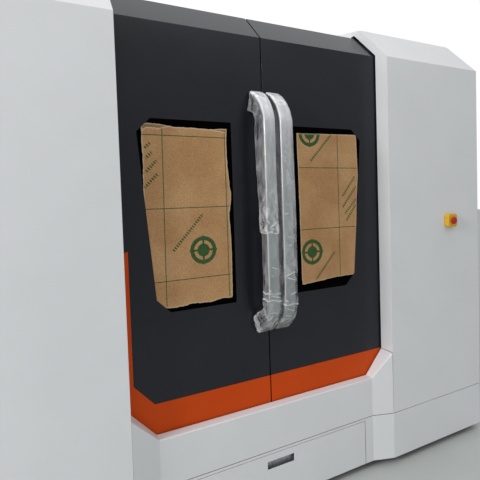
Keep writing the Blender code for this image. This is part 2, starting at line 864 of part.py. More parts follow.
def handle(side):
    """Bow handle bent from flat bar, its feet on the door face."""
    middle = meet_offset + side * handle_offset
    rings = bow_rings(middle, 0, handle_width, handle_depth, handle_depth, 0.007, seat)
    return sweep(rings)


def handle_film(side):
    """Loose film sleeve round the bow handle, open at both ends."""
    middle = meet_offset + side * handle_offset
    inset = (film_depth - handle_depth) / 2 - film_wall - seat
    outer = bow_rings(middle, inset, film_width, film_depth, film_end_depth, 0.014, film_end)
    inner = bow_rings(middle, inset, film_width - 2 * film_wall, film_depth - 2 * film_wall,
                      film_end_depth - 2 * film_wall, 0.013, film_end)
    return sleeve(outer, inner)


def door_track():
    """Beam across the machine with the runner that carries both doors."""
    beam = box((-inside_x, track_y, track_top - track_height),
               (inside_x, track_y + track_depth, track_top))
    runner = box((-inside_x + block_lip, track_y - runner_depth, runner_z - runner_height / 2),
                 (inside_x - block_lip, track_y + sheet, runner_z + runner_height / 2))
    return fuse([beam, runner])


def door_guide():
    """Bar behind the lower edge of the doors that keeps them from swinging in."""
    start = frame_back + seat
    return box((-inside_x, start, door_bottom + sheet),
               (inside_x, start + guide_thickness, door_bottom + sheet + guide_height))


def bed_frame():
    """Welded bed: side beams, legs, cross beams and the base bars that carry the casing."""
    parts = []
    for side in (-1, 1):
        x_low, x_high = sorted((side * beam_inner, side * half_bed))
        parts.append(box((x_low, bed_y, bed_top - beam_height), (x_high, bed_back, bed_top)))
        bar_low, bar_high = sorted((side * (leg_x - leg_width / 3), side * (leg_x + leg_width / 3)))
        parts.append(box((bar_low, bed_y + leg_width / 2, leg_bottom + 2 * sheet),
                         (bar_high, rear_bar_y() + rear_bar_width - 2 * sheet,
                          leg_bottom + base_bar)))
        for start in leg_places():
            parts.append(box((side * leg_x - leg_width / 2, start, leg_bottom),
                             (side * leg_x + leg_width / 2, start + leg_width,
                              bed_top - beam_height / 2)))
    inset = (leg_width - cross_height) / 2
    for start in leg_places():
        parts.append(box((-leg_x, start + inset, cross_top - cross_height),
                         (leg_x, start + inset + cross_height, cross_top)))
        parts.append(box((-inside_x, start + inset, leg_bottom + sheet),
                         (inside_x, start + inset + base_bar_width, leg_bottom + sheet + base_bar)))
    parts.append(box((-inside_x, rear_bar_y(), leg_bottom + sheet),
                     (inside_x, rear_bar_y() + rear_bar_width, leg_bottom + sheet + base_bar)))
    return fuse(parts)


def leg_places():
    """Front face of the front and of the rear legs."""
    return [bed_y + leg_width / 4, bed_back - leg_width * 5 / 4]


def rear_bar_y():
    """Front edge of the base bar that the laser source stands on."""
    return rear_y - sheet - service_flange - rear_bar_width - seat - 2 * sheet


def levelling_foot(side, start):
    """Turned pad with its stud."""
    centre = (side * leg_x, start + leg_width / 2)
    neck = stud_radius * 1.6
    return turned([(foot_radius, 0), (foot_radius, foot_thickness), (neck, foot_thickness * 1.6),
                   (stud_radius, foot_thickness * 1.6), (stud_radius, leg_bottom - seat)], centre)


def slat_outline():
    """One slat seen from the side: flat foot and a row of pointed teeth, as (y, z)."""
    low = cross_top + seat + table_bar_height - slat_sink
    start = table_start() + table_bar_width - slat_sink
    length = table_end() - table_bar_width + slat_sink - start
    tip = low + slat_height
    points = [(start, low), (start + length, low)]
    for tooth in range(slat_teeth):
        right = start + length * (1 - tooth / slat_teeth)
        points.append((right, tip - slat_tooth))
        points.append((right - length / slat_teeth / 2, tip))
    points.append((start, tip - slat_tooth))
    return points


def table_start():
    """Front face of the table, inside the front cross beam."""
    return leg_places()[0] + (leg_width - cross_height) / 2 + sheet


def table_end():
    """Rear face of the table."""
    return leg_places()[1] + (leg_width + cross_height) / 2 - sheet


def slat_table():
    """Table frame with its upright slats."""
    low = cross_top + seat
    high = low + table_bar_height
    half = table_width / 2
    parts = [box((-half, table_start(), low), (half, table_start() + table_bar_width, high)),
             box((-half, table_end() - table_bar_width, low), (half, table_end(), high))]
    for side in (-1, 1):
        x_low, x_high = sorted((side * half, side * (half - table_bar_width / 2)))
        parts.append(box((x_low, table_start() + sheet, low + sheet),
                         (x_high, table_end() - sheet, high - sheet)))
    frame = fuse(parts)
    outline = slat_outline()
    pitch = (table_width - 2 * table_bar_width) / (slat_count - 1)
    slats = []
    for index in range(slat_count):
        middle = -half + table_bar_width + index * pitch
        slats.append(prism(outline, "X", middle - slat_thickness / 2, middle + slat_thickness / 2))
    return fuse([frame] + slats)


def guide_rail(side):
    """Linear rail on a side beam."""
    middle = side * leg_x
    shoulder = rail_width * 0.32
    half = rail_width / 2
    outline = [(middle - half, rail_z), (middle + half, rail_z), (middle + half, rail_z + rail_height / 3),
               (middle + shoulder, rail_z + rail_height / 2), (middle + half, rail_z + rail_height * 2 / 3),
               (middle + half, rail_top), (middle - half, rail_top),
               (middle - half, rail_z + rail_height * 2 / 3),
               (middle - shoulder, rail_z + rail_height / 2), (middle - half, rail_z + rail_height / 3)]
    return prism(outline, "Y", bed_y + rail_end, bed_back - rail_end)


def gear_rack(side):
    """Rack beside the rail."""
    x_low, x_high = sorted((side * rack_inner, side * rack_outer))
    return box((x_low, bed_y + rail_end, rail_z), (x_high, bed_back - rail_end, rail_z + rack_width))


def beam_end(side):
    """Gantry foot: plate over the rail, lips beside it, bore for the motor shaft."""
    x_low, x_high = sorted((side * plate_inner, side * plate_outer))
    front, back = gantry_y - end_plate_front, gantry_y + end_plate_back
    plate = box((x_low, front, plate_z), (x_high, back, plate_top))
    lips = []
    for edge in (-1, 1):
        near = side * leg_x + edge * (rail_width / 2 + seat)
        width = plate_lip if edge * side > 0 else rack_from_rail - 2 * sheet
        lip_low, lip_high = sorted((near, near + edge * width))
        lips.append(box((lip_low, front + sheet, plate_z - plate_lip_drop),
                        (lip_high, back - sheet, plate_z + plate_lip / 2)))
    bore = rod("Z", (side * pinion_x, motor_y), shaft_radius + shaft_clearance,
               plate_z - plate_lip, plate_top + plate_lip)
    return cut(fuse([plate] + lips), [bore])


def gantry_beam():
    """Box beam across the bed, open at both ends."""
    outer = box((-beam_x, beam_front, beam_z),
                (beam_x, beam_front + gantry_beam_depth, beam_top))
    core = box((-beam_x - beam_width, beam_front + gantry_beam_wall, beam_z + gantry_beam_wall),
               (beam_x + beam_width, beam_front + gantry_beam_depth - gantry_beam_wall,
                beam_top - gantry_beam_wall))
    return cut(outer, [core])


def motor(axis, centre, width, start, end):
    """Servo motor with its gearbox and a square flange; start is the flange face."""
    sign = 1 if end > start else -1
    flange = start + sign * width * 0.15
    case = start + sign * abs(end - start) * 0.40

    def square(size, first, last):
        low, high = sorted((first, last))
        corner = size * 0.12
        half = size / 2
        u, v = centre
        outline = [(u - half + corner, v - half), (u + half - corner, v - half), (u + half, v - half + corner),
                   (u + half, v + half - corner), (u + half - corner, v + half), (u - half + corner, v + half),
                   (u - half, v + half - corner), (u - half, v - half + corner)]
        return prism(outline, axis, low, high)

    parts = [square(width, start, flange),
             rod(axis, centre, width * 0.44, *sorted((flange - sign * sheet, case + sign * sheet)), 20),
             square(width * 0.9, case, end)]
    return fuse(parts)


def pinion(axis, centre, start, height, shaft_end):
    """Pinion with its shaft."""
    sign = 1 if shaft_end > start else -1
    wheel = rod(axis, centre, pinion_radius, *sorted((start, start + sign * height)), 24)
    shaft = rod(axis, centre, shaft_radius, *sorted((start + sign * height / 2, shaft_end)), 16)
    return fuse([wheel, shaft])


def cross_rail_shape(level):
    """Rail along the front of the gantry beam."""
    half = beam_x - cross_rail_end
    return box((-half, cross_rail_y, level), (half, cross_rail_y + cross_rail, level + cross_rail))


def carriage_plate_shape():
    """Carriage plate with its rail shoes, the lift guides and the shelf for the lift motor."""
    x_low = carriage_rest - carriage_width / 2
    x_high = carriage_rest + carriage_width / 2
    parts = [box((x_low, carriage_front, carriage_low), (x_high, carriage_back, carriage_high))]
    lip = block_lip
    for level in (low_rail_z, high_rail_z):
        for near, far in ((level - seat, level - seat - lip),
                          (level + cross_rail + seat, level + cross_rail + seat + lip)):
            z_low, z_high = sorted((near, far))
            parts.append(box((x_low + sheet, carriage_back - sheet, z_low),
                             (x_high - sheet, carriage_back + cross_rail - sheet, z_high)))
    for side in (-1, 1):
        middle = screw_x + side * lift_rail_spread / 2
        parts.append(box((middle - lift_rail_width / 2, lift_back + seat, carriage_low + sheet),
                         (middle + lift_rail_width / 2, carriage_front + sheet,
                          carriage_high - shelf_thickness / 2)))
    parts.append(box((screw_x - lift_width / 2, lift_back + seat, carriage_high - shelf_thickness),
                     (screw_x + lift_width / 2, carriage_front + sheet, carriage_high)))
    plate = fuse(parts)
    bores = [rod("Z", (screw_x, screw_y), screw_radius + screw_clearance,
                 carriage_high - 2 * shelf_thickness, carriage_high + shelf_thickness),
             rod("Y", (carriage_motor_x(), cross_pinion_z), shaft_radius + shaft_clearance,
                 carriage_front - lip, carriage_back + lip)]
    return cut(plate, bores)


def carriage_motor_x():
    """Middle of the carriage motor."""
    return carriage_rest - carriage_motor_side


def lift_plate_shape():
    """Sliding plate of the lift with the nut that runs on the screw."""
    x_low, x_high = screw_x - lift_width / 2, screw_x + lift_width / 2
    parts = [box((x_low, lift_front, lift_low), (x_high, lift_back, lift_high)),
             box((screw_x - nut_size / 2, lift_back - sheet, lift_low + nut_size),
                 (screw_x + nut_size / 2, carriage_front - 2 * sheet, lift_low + 3 * nut_size))]
    for side in (-1, 1):
        near = screw_x + side * (lift_rail_spread / 2 + lift_rail_width / 2 + seat)
        lip_low, lip_high = sorted((near, near + side * block_lip / 2))
        parts.append(box((lip_low, lift_back - sheet, lift_low + sheet),
                         (lip_high, carriage_front - 2 * sheet, lift_high - sheet)))
    plate = fuse(parts)
    bore = rod("Z", (screw_x, screw_y), screw_radius + screw_clearance, lift_low, lift_high)
    return cut(plate, [bore])


def laser_head():
    """Cutting head: collimator tube, lens block and the cone above the nozzle."""
    top = head_low + head_height
    block_low = head_low + head_block
    block_top = block_low + head_block_height
    half = head_width / 2
    block = box((screw_x - half, head_y - half, block_low), (screw_x + half, head_y + half, block_top))
    lower = turned([(nozzle_radius, head_low), (head_cone_radius, head_low + head_cone),
                    (head_cone_radius, block_low + sheet)], (screw_x, head_y))
    upper = turned([(head_tube_radius, block_top - sheet), (head_tube_radius, top - head_shoulder),
                    (head_neck_radius, top - head_neck), (head_neck_radius, top)], (screw_x, head_y))
    return fuse([block, lower, upper])


def nozzle():
    """Copper nozzle under the head."""
    top = head_low - seat
    shoulder = nozzle_height + nozzle_shoulder
    return turned([(nozzle_tip_radius, nozzle_height), (nozzle_cone_radius, shoulder),
                   (nozzle_radius, shoulder), (nozzle_radius, top)], (screw_x, head_y))


def scrap_tray():
    """Open tray that slides under the table."""
    half = drawer_half - tray_inset
    front = sill_y + drawer_front_depth + seat
    back = front + tray_depth
    top = drawer_high - drawer_edge
    low = tray_low
    faces = [((0, 0, -1), [(-half, front, low), (half, front, low), (half, back, low), (-half, back, low)])]
    for x, towards in ((-half, -1), (half, 1)):
        faces.append(((towards, 0, 0), [(x, front, low), (x, back, low), (x, back, top), (x, front, top)]))
    for y, towards in ((front, -1), (back, 1)):
        faces.append(((0, towards, 0), [(-half, y, low), (half, y, low), (half, y, top), (-half, y, top)]))
    return folded_sheet(faces, tray_wall)


def drawer_front():
    """White drawer front, folded in all round."""
    half = drawer_half - drawer_edge
    low, high = skirt_height, drawer_high - drawer_edge
    back = sill_y + drawer_front_depth
    faces = [((0, -1, 0), [(-half, sill_y, low), (half, sill_y, low), (half, sill_y, high),
                           (-half, sill_y, high)])]
    for x, towards in ((-half, -1), (half, 1)):
        faces.append(((towards, 0, 0), [(x, sill_y, low), (x, back, low), (x, back, high), (x, sill_y, high)]))
    for z, towards in ((low, -1), (high, 1)):
        faces.append(((0, 0, towards), [(-half, sill_y, z), (half, sill_y, z), (half, back, z),
                                        (-half, back, z)]))
    slot_top = high - finger_drop
    slot = box((-finger_width / 2, sill_y - sheet, slot_top - finger_height),
               (finger_width / 2, sill_y + 2 * sheet, slot_top))
    return cut(folded_sheet(faces, sheet), [slot])


def laser_source():
    """Laser source: a rack case standing on the rear base bar, with two side grips."""
    low = leg_bottom + sheet + base_bar + seat
    back = rear_bar_y() + rear_bar_width - sheet
    case = box((source_side - source_width / 2, back - source_depth, low),
               (source_side + source_width / 2, back, low + source_height))
    half = source_width / 2 - source_grille
    recess = box((source_side - half, back - 2 * sheet, low + source_grille_end),
                 (source_side + half, back + sheet, low + source_height - source_grille_end))
    return cut(case, [recess])


def drive_panel():
    """Mounting plate behind the service door with drives, breakers and a transformer."""
    middle = service_side + service_width / 2
    bar_top = leg_bottom + sheet + base_bar + seat
    front = rear_bar_y() + sheet
    x_low, x_high = middle - drive_width / 2, middle + drive_width / 2
    parts = [box((x_low, front, bar_top), (x_high, front + drive_back, drive_low + drive_height))]
    for start, height, count in drive_rows:
        pitch = drive_width / count
        level = drive_low + start
        for index in range(count):
            near = x_low + index * pitch + module_space / 2
            parts.append(box((near, front + drive_back / 2, level),
                             (near + pitch - module_space, front + drive_back + drive_module,
                              level + height)))
    return fuse(parts)


def exhaust_collar():
    """Duct collar with a rim that sits on the roof."""
    centre = (collar_side, rear_y - collar_from_rear)
    low = roof_z + seat
    rim = turned([(collar_radius + collar_rim, low), (collar_radius + collar_rim, low + sheet),
                  (collar_radius, low + sheet), (collar_radius, low + collar_height)], centre, "Z", 32)
    bore = rod("Z", centre, collar_radius - sheet, low - sheet, low + 2 * collar_height, 32)
    return cut(rim, [bore])


def stop_housing():
    """Square box of the stop button with the bore for its stem."""
    half = stop_box / 2
    corner = stop_corner
    outline = [(stop_side - half + corner, stop_height - half), (stop_side + half - corner, stop_height - half),
               (stop_side + half, stop_height - half + corner), (stop_side + half, stop_height + half - corner),
               (stop_side + half - corner, stop_height + half), (stop_side - half + corner, stop_height + half),
               (stop_side - half, stop_height + half - corner), (stop_side - half, stop_height - half + corner)]
    front = casing_y - seat - stop_box_depth
    case = prism(outline, "Y", front, casing_y - seat)
    bore = rod("Y", (stop_side, stop_height), stop_stem + shaft_clearance, front - sheet,
               casing_y - 3 * sheet)
    return cut(case, [bore])


def stop_button():
    """Mushroom button with its stem in the box."""
    front = casing_y - seat - stop_box_depth
    cap_back = front - stop_travel - seat
    tip = cap_back - stop_cap
    return turned([(stop_cap_face, tip), (stop_radius, cap_back - stop_cap_edge), (stop_radius, cap_back),
                   (stop_stem, cap_back), (stop_stem, front + stop_box_depth / 2)],
                  (stop_side, stop_height), "Y")


def build():
    """Place every piece on the body that carries it."""
    clear_scene()
    paint = make_materials()
    base = body("base")

    add("bed_frame", bed_frame(), paint["grey"], base)
    for side, hand in ((-1, "left"), (1, "right")):
        for start, end in zip(leg_places(), ("front", "rear")):
            add("foot_%s_%s" % (end, hand), levelling_foot(side, start), paint["black"], base)
        add("guide_rail_" + hand, guide_rail(side), paint["steel"], base)
        add("gear_rack_" + hand, gear_rack(side), paint["steel"], base)
        add("front_casing_" + hand, front_casing(side), paint["white"], base)
        low, high = sorted((side * half_width, side * (half_width - sheet)))
        add("side_wall_" + hand, prism(side_outline(), "X", low, high), paint["white"], base)
    add("slat_table", slat_table(), paint["zinc"], base)
    add("sill_panel", sill_panel(), paint["white"], base)
    add("kick_panel", kick_panel(), paint["white"], base)
    add("roof_panel", roof_panel(), paint["white"], base)
    add("rear_wall", rear_wall(), paint["white"], base)
    add("exhaust_collar", exhaust_collar(), paint["zinc"], base)
    add("door_track", door_track(), paint["zinc"], base)
    add("door_guide", door_guide(), paint["zinc"], base)
    add("laser_source", laser_source(), paint["black"], base)
    add("drive_panel", drive_panel(), paint["zinc"], base)
    add("stop_housing", stop_housing(), paint["yellow"], base)

    button = body("stop_button", (stop_side, casing_y, stop_height))
    add("stop_button", stop_button(), paint["red"], button)

    for side, hand in ((-1, "left"), (1, "right")):
        door = body("door_" + hand, (meet_offset, face_y, sill_height))
        add("door_skin_" + hand, door_skin(side), paint["dark"], door)
        add("door_trim_" + hand, door_trim(side), paint["orange"], door)
        add("door_frame_" + hand, door_frame(side), paint["zinc"], door)
        add("window_pane_" + hand, window_pane(side), paint["glass"], door)
        add("masking_paper_" + hand, masking_paper(side), paint["paper"], door)
        add("door_handle_" + hand, handle(side), paint["bright"], door)
        add("handle_film_" + hand, handle_film(side), paint["film"], door)

    gantry = body("gantry", (0, gantry_y, rail_top))
    add("gantry_beam", gantry_beam(), paint["bright"], gantry)
    add("beam_rail_lower", cross_rail_shape(low_rail_z), paint["steel"], gantry)
    add("beam_rail_upper", cross_rail_shape(high_rail_z), paint["steel"], gantry)
    add("beam_rack", cross_rail_shape(cross_rack_z), paint["steel"], gantry)
    for side, hand in ((-1, "left"), (1, "right")):
        add("beam_end_" + hand, beam_end(side), paint["bright"], gantry)
        centre = (side * pinion_x, motor_y)
        add("gantry_motor_" + hand,
            motor("Z", centre, motor_width, plate_top + seat, plate_top + motor_height),
            paint["black"], gantry)
        spinner = body("gantry_pinion_" + hand, (*centre, rail_z), gantry)
        start = plate_z - seat - pinion_height
        add("gantry_pinion_" + hand, pinion("Z", centre, start, pinion_height, plate_top),
            paint["steel"], spinner)

    carriage = body("carriage", (carriage_rest, carriage_back, beam_z), gantry)
    add("carriage_plate", carriage_plate_shape(), paint["bright"], carriage)
    drive = (carriage_motor_x(), cross_pinion_z)
    add("carriage_motor",
        motor("Y", drive, carriage_motor_width, carriage_front - seat, carriage_front - carriage_motor_length),
        paint["black"], carriage)
    add("lift_motor",
        motor("Z", (screw_x, screw_y), lift_motor_width, carriage_high + seat,
              carriage_high + lift_motor_height), paint["black"], carriage)
    spinner = body("carriage_pinion", (drive[0], carriage_back, drive[1]), carriage)
    add("carriage_pinion", pinion("Y", drive, beam_front - 2 * seat, pinion_height, carriage_front),
        paint["steel"], spinner)
    screw = body("lift_screw", (screw_x, screw_y, carriage_low), carriage)
    add("lift_screw", rod("Z", (screw_x, screw_y), screw_radius, carriage_low, carriage_high),
        paint["steel"], screw)

    head = body("head", (screw_x, head_y, nozzle_height), carriage)
    add("lift_plate", lift_plate_shape(), paint["bright"], head)
    add("laser_head", laser_head(), paint["black"], head)
    add("nozzle", nozzle(), paint["brass"], head)

    drawer = body("drawer", (0, sill_y, skirt_height))
    add("scrap_tray", scrap_tray(), paint["zinc"], drawer)
    add("drawer_front", drawer_front(), paint["white"], drawer)

    service = body("service_door", (service_side, rear_y + barrel_radius, service_low))
    add("service_door", service_door(), paint["white"], service)


build()
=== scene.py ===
# Enclosed laser cutting machine: the finish of every surface, the wrapped handles and the masking papers.
# Metres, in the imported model's own frame, and millimetres where a note says so. The doors face -Y.
import functools
import json
import math

import bmesh
import bpy
import numpy as np
from mathutils import Matrix, Vector

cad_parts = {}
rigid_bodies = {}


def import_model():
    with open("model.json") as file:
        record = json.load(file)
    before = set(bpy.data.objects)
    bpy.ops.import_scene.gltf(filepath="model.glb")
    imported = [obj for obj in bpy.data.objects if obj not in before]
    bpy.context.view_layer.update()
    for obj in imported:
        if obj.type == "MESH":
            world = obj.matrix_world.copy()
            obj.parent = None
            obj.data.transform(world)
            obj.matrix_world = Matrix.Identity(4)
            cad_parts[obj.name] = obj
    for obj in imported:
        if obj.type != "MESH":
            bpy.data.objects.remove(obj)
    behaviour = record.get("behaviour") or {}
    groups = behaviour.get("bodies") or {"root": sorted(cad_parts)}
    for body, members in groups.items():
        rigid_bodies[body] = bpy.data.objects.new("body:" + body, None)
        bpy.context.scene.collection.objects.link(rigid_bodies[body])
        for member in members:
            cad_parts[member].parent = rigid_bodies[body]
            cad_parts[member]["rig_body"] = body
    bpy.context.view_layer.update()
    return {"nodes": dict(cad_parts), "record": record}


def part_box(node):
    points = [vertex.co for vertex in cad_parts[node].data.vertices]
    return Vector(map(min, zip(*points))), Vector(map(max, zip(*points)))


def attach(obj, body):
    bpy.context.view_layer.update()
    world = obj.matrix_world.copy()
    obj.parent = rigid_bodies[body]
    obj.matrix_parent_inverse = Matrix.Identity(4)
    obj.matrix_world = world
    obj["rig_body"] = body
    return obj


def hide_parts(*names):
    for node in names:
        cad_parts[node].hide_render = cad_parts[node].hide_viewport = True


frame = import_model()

nodes = frame["nodes"]
scene = bpy.context.scene
slots = {part["node"]: part["material_slot"] for part in frame["record"]["subparts"]}
mm = 0.001


# Colour and shader nodes
def linear(hexCode):
    # sRGB to linear: c / 12.92 near black, ((c + 0.055) / 1.055) ^ 2.4 above
    parts = [int(hexCode[i:i + 2], 16) / 255 for i in (1, 3, 5)]
    return [c / 12.92 if c <= 0.04045 else ((c + 0.055) / 1.055) ** 2.4 for c in parts] + [1.0]


def addNode(tree, kind, inputs=(), stops=(), **settings):
    # inputs go in order, or by name; each is a value, a node to link by its first output, or a pair of node
    # and output. stops are the (position, hex colour) of a colour ramp
    node = tree.nodes.new("ShaderNode" + kind)
    for name, value in settings.items():
        setattr(node, name, value)
    for index, (position, colour) in enumerate(stops):
        node.color_ramp.elements[index].position = position
        node.color_ramp.elements[index].color = linear(colour)
    for name, value in inputs.items() if isinstance(inputs, dict) else enumerate(inputs):
        value = (value, 0) if hasattr(value, "outputs") else value
        if isinstance(value, tuple) and hasattr(value[0], "outputs"):
            tree.links.new(value[0].outputs[value[1]], node.inputs[name])
        else:
            node.inputs[name].default_value = value
    return node


def newMaterial(name):
    # an empty material, addNode for its tree, and the object coordinates that its patterns read
    material = bpy.data.materials.new(name)
    material.use_nodes = True
    material.node_tree.nodes.clear()
    add = functools.partial(addNode, material.node_tree)
    return material, add, (add("TexCoord"), "Object")


# Meshes
def newPiece(name, mesh):
    piece = bpy.data.objects.new(name, mesh)
    scene.collection.objects.link(piece)
    return piece


def gridPiece(name, grids, around=False, caps=False):
    # one mesh of several grids[row, column, xyz]: neighbours are joined by quads, the last column to the
    # first if around, and caps close both ends
    points, faces = [], []
    for grid in grids:
        rows, columns = grid.shape[:2]
        index = len(points) + np.arange(rows * columns).reshape(rows, columns)
        ring = np.hstack([index, index[:, :1]]) if around else index
        quads = np.stack([ring[:-1, :-1], ring[:-1, 1:], ring[1:, 1:], ring[1:, :-1]], axis=-1)
        faces += quads.reshape(-1, 4).tolist()
        if caps:
            faces += [index[0][::-1].tolist(), index[-1].tolist()]
        points += grid.reshape(-1, 3).tolist()
    mesh = bpy.data.meshes.new(name)
    mesh.from_pydata(points, [], faces)
    mesh.shade_smooth()
    return newPiece(name, mesh)


def turnOutwards(piece, sharpAngle=180):
    # faces outwards, edges sharp where two faces meet at more than sharpAngle degrees
    edit = bmesh.new()
    edit.from_mesh(piece.data)
    bmesh.ops.recalc_face_normals(edit, faces=edit.faces)
    edit.to_mesh(piece.data)
    edit.free()
    piece.data.set_sharp_from_angle(angle=math.radians(sharpAngle))


def pointValues(piece, name, values):
    attribute = piece.data.attributes.new(name, "FLOAT", "POINT")
    attribute.data.foreach_set("value", np.asarray(values, np.float32).ravel())


def finishPiece(piece, body, slotName, *standsFor):
    piece.data.materials.clear()
    piece.data.materials.append(materials[slotName])
    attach(piece, body)
    if standsFor:
        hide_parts(*standsFor)


# Camera at the photograph's place
cameraSettings = {
    "place": (-0.90695, -2.5074, 1.4026),
    "yaw": 25.715,               # degrees towards +X
    "pitch": 2.064,              # degrees downwards
    "roll": -1.906,
    "focalPixels": 401.73,
    "middleRow": 214,            # pixel row of the optical axis
    "frameSize": 480,
}


def makeCamera(s):
    yaw, pitch, roll = (math.radians(s[key]) for key in ("yaw", "pitch", "roll"))
    forward = np.array([math.sin(yaw) * math.cos(pitch), math.cos(yaw) * math.cos(pitch), -math.sin(pitch)])
    level = np.array([math.cos(yaw), -math.sin(yaw), 0.0])
    upright = np.cross(level, forward)
    data = bpy.data.cameras.new("camera")
    data.sensor_fit = "HORIZONTAL"
    data.lens = s["focalPixels"] / s["frameSize"] * data.sensor_width
    data.shift_y = (s["middleRow"] - s["frameSize"] / 2) / s["frameSize"]
    camera = bpy.data.objects.new("camera", data)
    scene.collection.objects.link(camera)
    turn = np.eye(4)
    turn[:3, 0] = level * math.cos(roll) + upright * math.sin(roll)
    turn[:3, 1] = -level * math.sin(roll) + upright * math.cos(roll)
    turn[:3, 2] = -forward
    turn[:3, 3] = s["place"]
    camera.matrix_world = Matrix(turn.tolist())
    scene.camera = camera


makeCamera(cameraSettings)
print("camera placed")


# Light: a pale studio, brighter overhead, with a soft box to the left and a smaller one over the front
studio = {
    "zenith": 1.05,              # world strength straight up
    "horizon": 0.34,
    "sky": "#fdfeff",
    "boxes": [{"place": (-5.2, -2.2, 3.1), "target": (-0.2, -0.9, 1.3), "size": 1.6, "power": 193},
              {"place": (0.3, -2.5, 3.7), "target": (0.1, -1.0, 1.4), "size": 1.8, "power": 8}],
    "floorColour": "#b4b8b6",
    "floorShade": "#aeb2b0",
    "floorReach": 30,
}


def makeStudio(s):
    scene.world = bpy.data.worlds.new("studio")
    scene.world.use_nodes = True
    scene.world.node_tree.nodes.clear()
    add = functools.partial(addNode, scene.world.node_tree)
    height = add("SeparateXYZ", [(add("TexCoord"), "Generated")])
    level = add("MapRange", [(height, "Z"), 0.0, 1.0, s["horizon"], s["zenith"]])
    light = add("Background", {"Color": linear(s["sky"]), "Strength": level})
    white = add("Background", {"Color": linear("#ffffff"), "Strength": 1.0})
    seen = (add("LightPath"), "Is Camera Ray")
    add("OutputWorld", [add("MixShader", [seen, light, white])])
    for box in s["boxes"]:
        data = bpy.data.lights.new("softBox", "AREA")
        data.size = box["size"]
        data.energy = box["power"]
        lamp = bpy.data.objects.new("softBox", data)
        scene.collection.objects.link(lamp)
        lamp.location = box["place"]
        towards = Vector(box["target"]) - Vector(box["place"])
        lamp.rotation_euler = towards.to_track_quat("-Z", "Y").to_euler()
    scene.view_settings.view_transform = "Standard"


def makeFloor(s):
    reach = [-float(s["floorReach"]), float(s["floorReach"])]
    x, y = np.meshgrid(reach, reach)
    floor = gridPiece("floor", [np.stack([x, y, 0 * x], axis=-1)])
    material, add, place = newMaterial("paleStudioFloor")
    cloud = add("TexNoise", {"Vector": place, "Scale": 3.0, "Detail": 6.0})
    tint = add("ValToRGB", [cloud], stops=[(0.3, s["floorShade"]), (0.7, s["floorColour"])])
    add("OutputMaterial", [add("BsdfPrincipled", {"Base Color": tint, "Roughness": 0.7})])
    floor.data.materials.append(material)


makeStudio(studio)
makeFloor(studio)
print("studio lit")


# Materials, each named for the real one
def powderCoat(name, colour, shade, roughness, specular=0.5, peel=0.0024, depth=0.00004):
    # baked powder coat: even colour, an orange peel about 2.4 mm across, slightly cloudy gloss
    material, add, place = newMaterial(name)
    grain = add("TexNoise", {"Vector": place, "Scale": 1 / peel, "Detail": 2.0})
    cloud = add("TexNoise", {"Vector": place, "Scale": 4.0, "Detail": 4.0})
    add("OutputMaterial", [add("BsdfPrincipled", {
        "Base Color": add("ValToRGB", [cloud], stops=[(0.3, shade), (0.7, colour)]),
        "Roughness": add("MapRange", [cloud, 0.0, 1.0, roughness - 0.04, roughness + 0.04]),
        "Normal": add("Bump", {"Height": grain, "Strength": 0.5, "Distance": depth}),
        "Specular IOR Level": specular})])
    return material


def brushedMetal(name, colour, shade, roughness, axis, line=0.0012, length=0.15):
    # bare metal with fine scratches along one axis, drawn 1.2 mm apart so that they show
    material, add, place = newMaterial(name)
    stretch = [1 / line] * 3
    stretch[axis] = 1 / length
    mapped = add("Mapping", {"Vector": place, "Scale": stretch})
    lines = add("TexNoise", {"Vector": mapped, "Scale": 1.0, "Detail": 3.0})
    add("OutputMaterial", [add("BsdfPrincipled", {
        "Base Color": add("ValToRGB", [lines], stops=[(0.3, shade), (0.7, colour)]),
        "Roughness": add("MapRange", [lines, 0.0, 1.0, roughness - 0.06, roughness + 0.06]),
        "Normal": add("Bump", {"Height": lines, "Strength": 0.3, "Distance": 0.00002}),
        "Metallic": 1.0})])
    return material


def galvanisedSheet():
    # zinc-coated steel: dull crystals about 8 mm across, each with its own grey and gloss
    material, add, place = newMaterial("galvanisedSheet")
    crystals = add("TexVoronoi", {"Vector": place, "Scale": 120.0})
    tone = add("RGBToBW", [(crystals, "Color")])
    add("OutputMaterial", [add("BsdfPrincipled", {
        "Base Color": add("ValToRGB", [tone], stops=[(0.2, "#a9adb0"), (0.8, "#c9ccce")]),
        "Roughness": add("MapRange", [tone, 0.0, 1.0, 0.34, 0.5]),
        "Metallic": 0.9})])
    return material


def castAcrylic():
    # cast acrylic, nearly black and polished, with a faint handling haze
    material, add, place = newMaterial("castAcrylic")
    haze = add("TexNoise", {"Vector": place, "Scale": 9.0, "Detail": 5.0})
    add("OutputMaterial", [add("BsdfPrincipled", {
        "Base Color": add("ValToRGB", [haze], stops=[(0.3, "#010101"), (0.7, "#020202")]),
        "Roughness": add("MapRange", [haze, 0.0, 1.0, 0.05, 0.16]),
        "IOR": 1.49, "Specular IOR Level": 0.015})])
    return material


def mouldedPlastic(name, colour, shade, roughness):
    # injection-moulded plastic with a spark-eroded grain of about 1 mm
    material, add, place = newMaterial(name)
    grain = add("TexNoise", {"Vector": place, "Scale": 1000.0, "Detail": 2.0})
    add("OutputMaterial", [add("BsdfPrincipled", {
        "Base Color": add("ValToRGB", [grain], stops=[(0.35, shade), (0.65, colour)]),
        "Roughness": add("MapRange", [grain, 0.0, 1.0, roughness - 0.05, roughness + 0.05]),
        "Normal": add("Bump", {"Height": grain, "Strength": 0.4, "Distance": 0.00003})})])
    return material


filmFinish = {
    "streaks": (38, 38, 9),      # per metre along x, y and z
    "facets": (44, 44, 25),
    "facetTurn": (0.3, 0.5, 0.2),
    "bends": 22.0,               # per metre, of the lines between the facets
    "bend": 0.035,
    "line": 0.10,                # width of a line, of a facet
    # cover and white colour of the creases and of the painted highlights and glints on the film
    "creaseAndHighlightCover": 0.85,
    "thin": "#e6e6ea",
    "folded": "#ffffff",
}


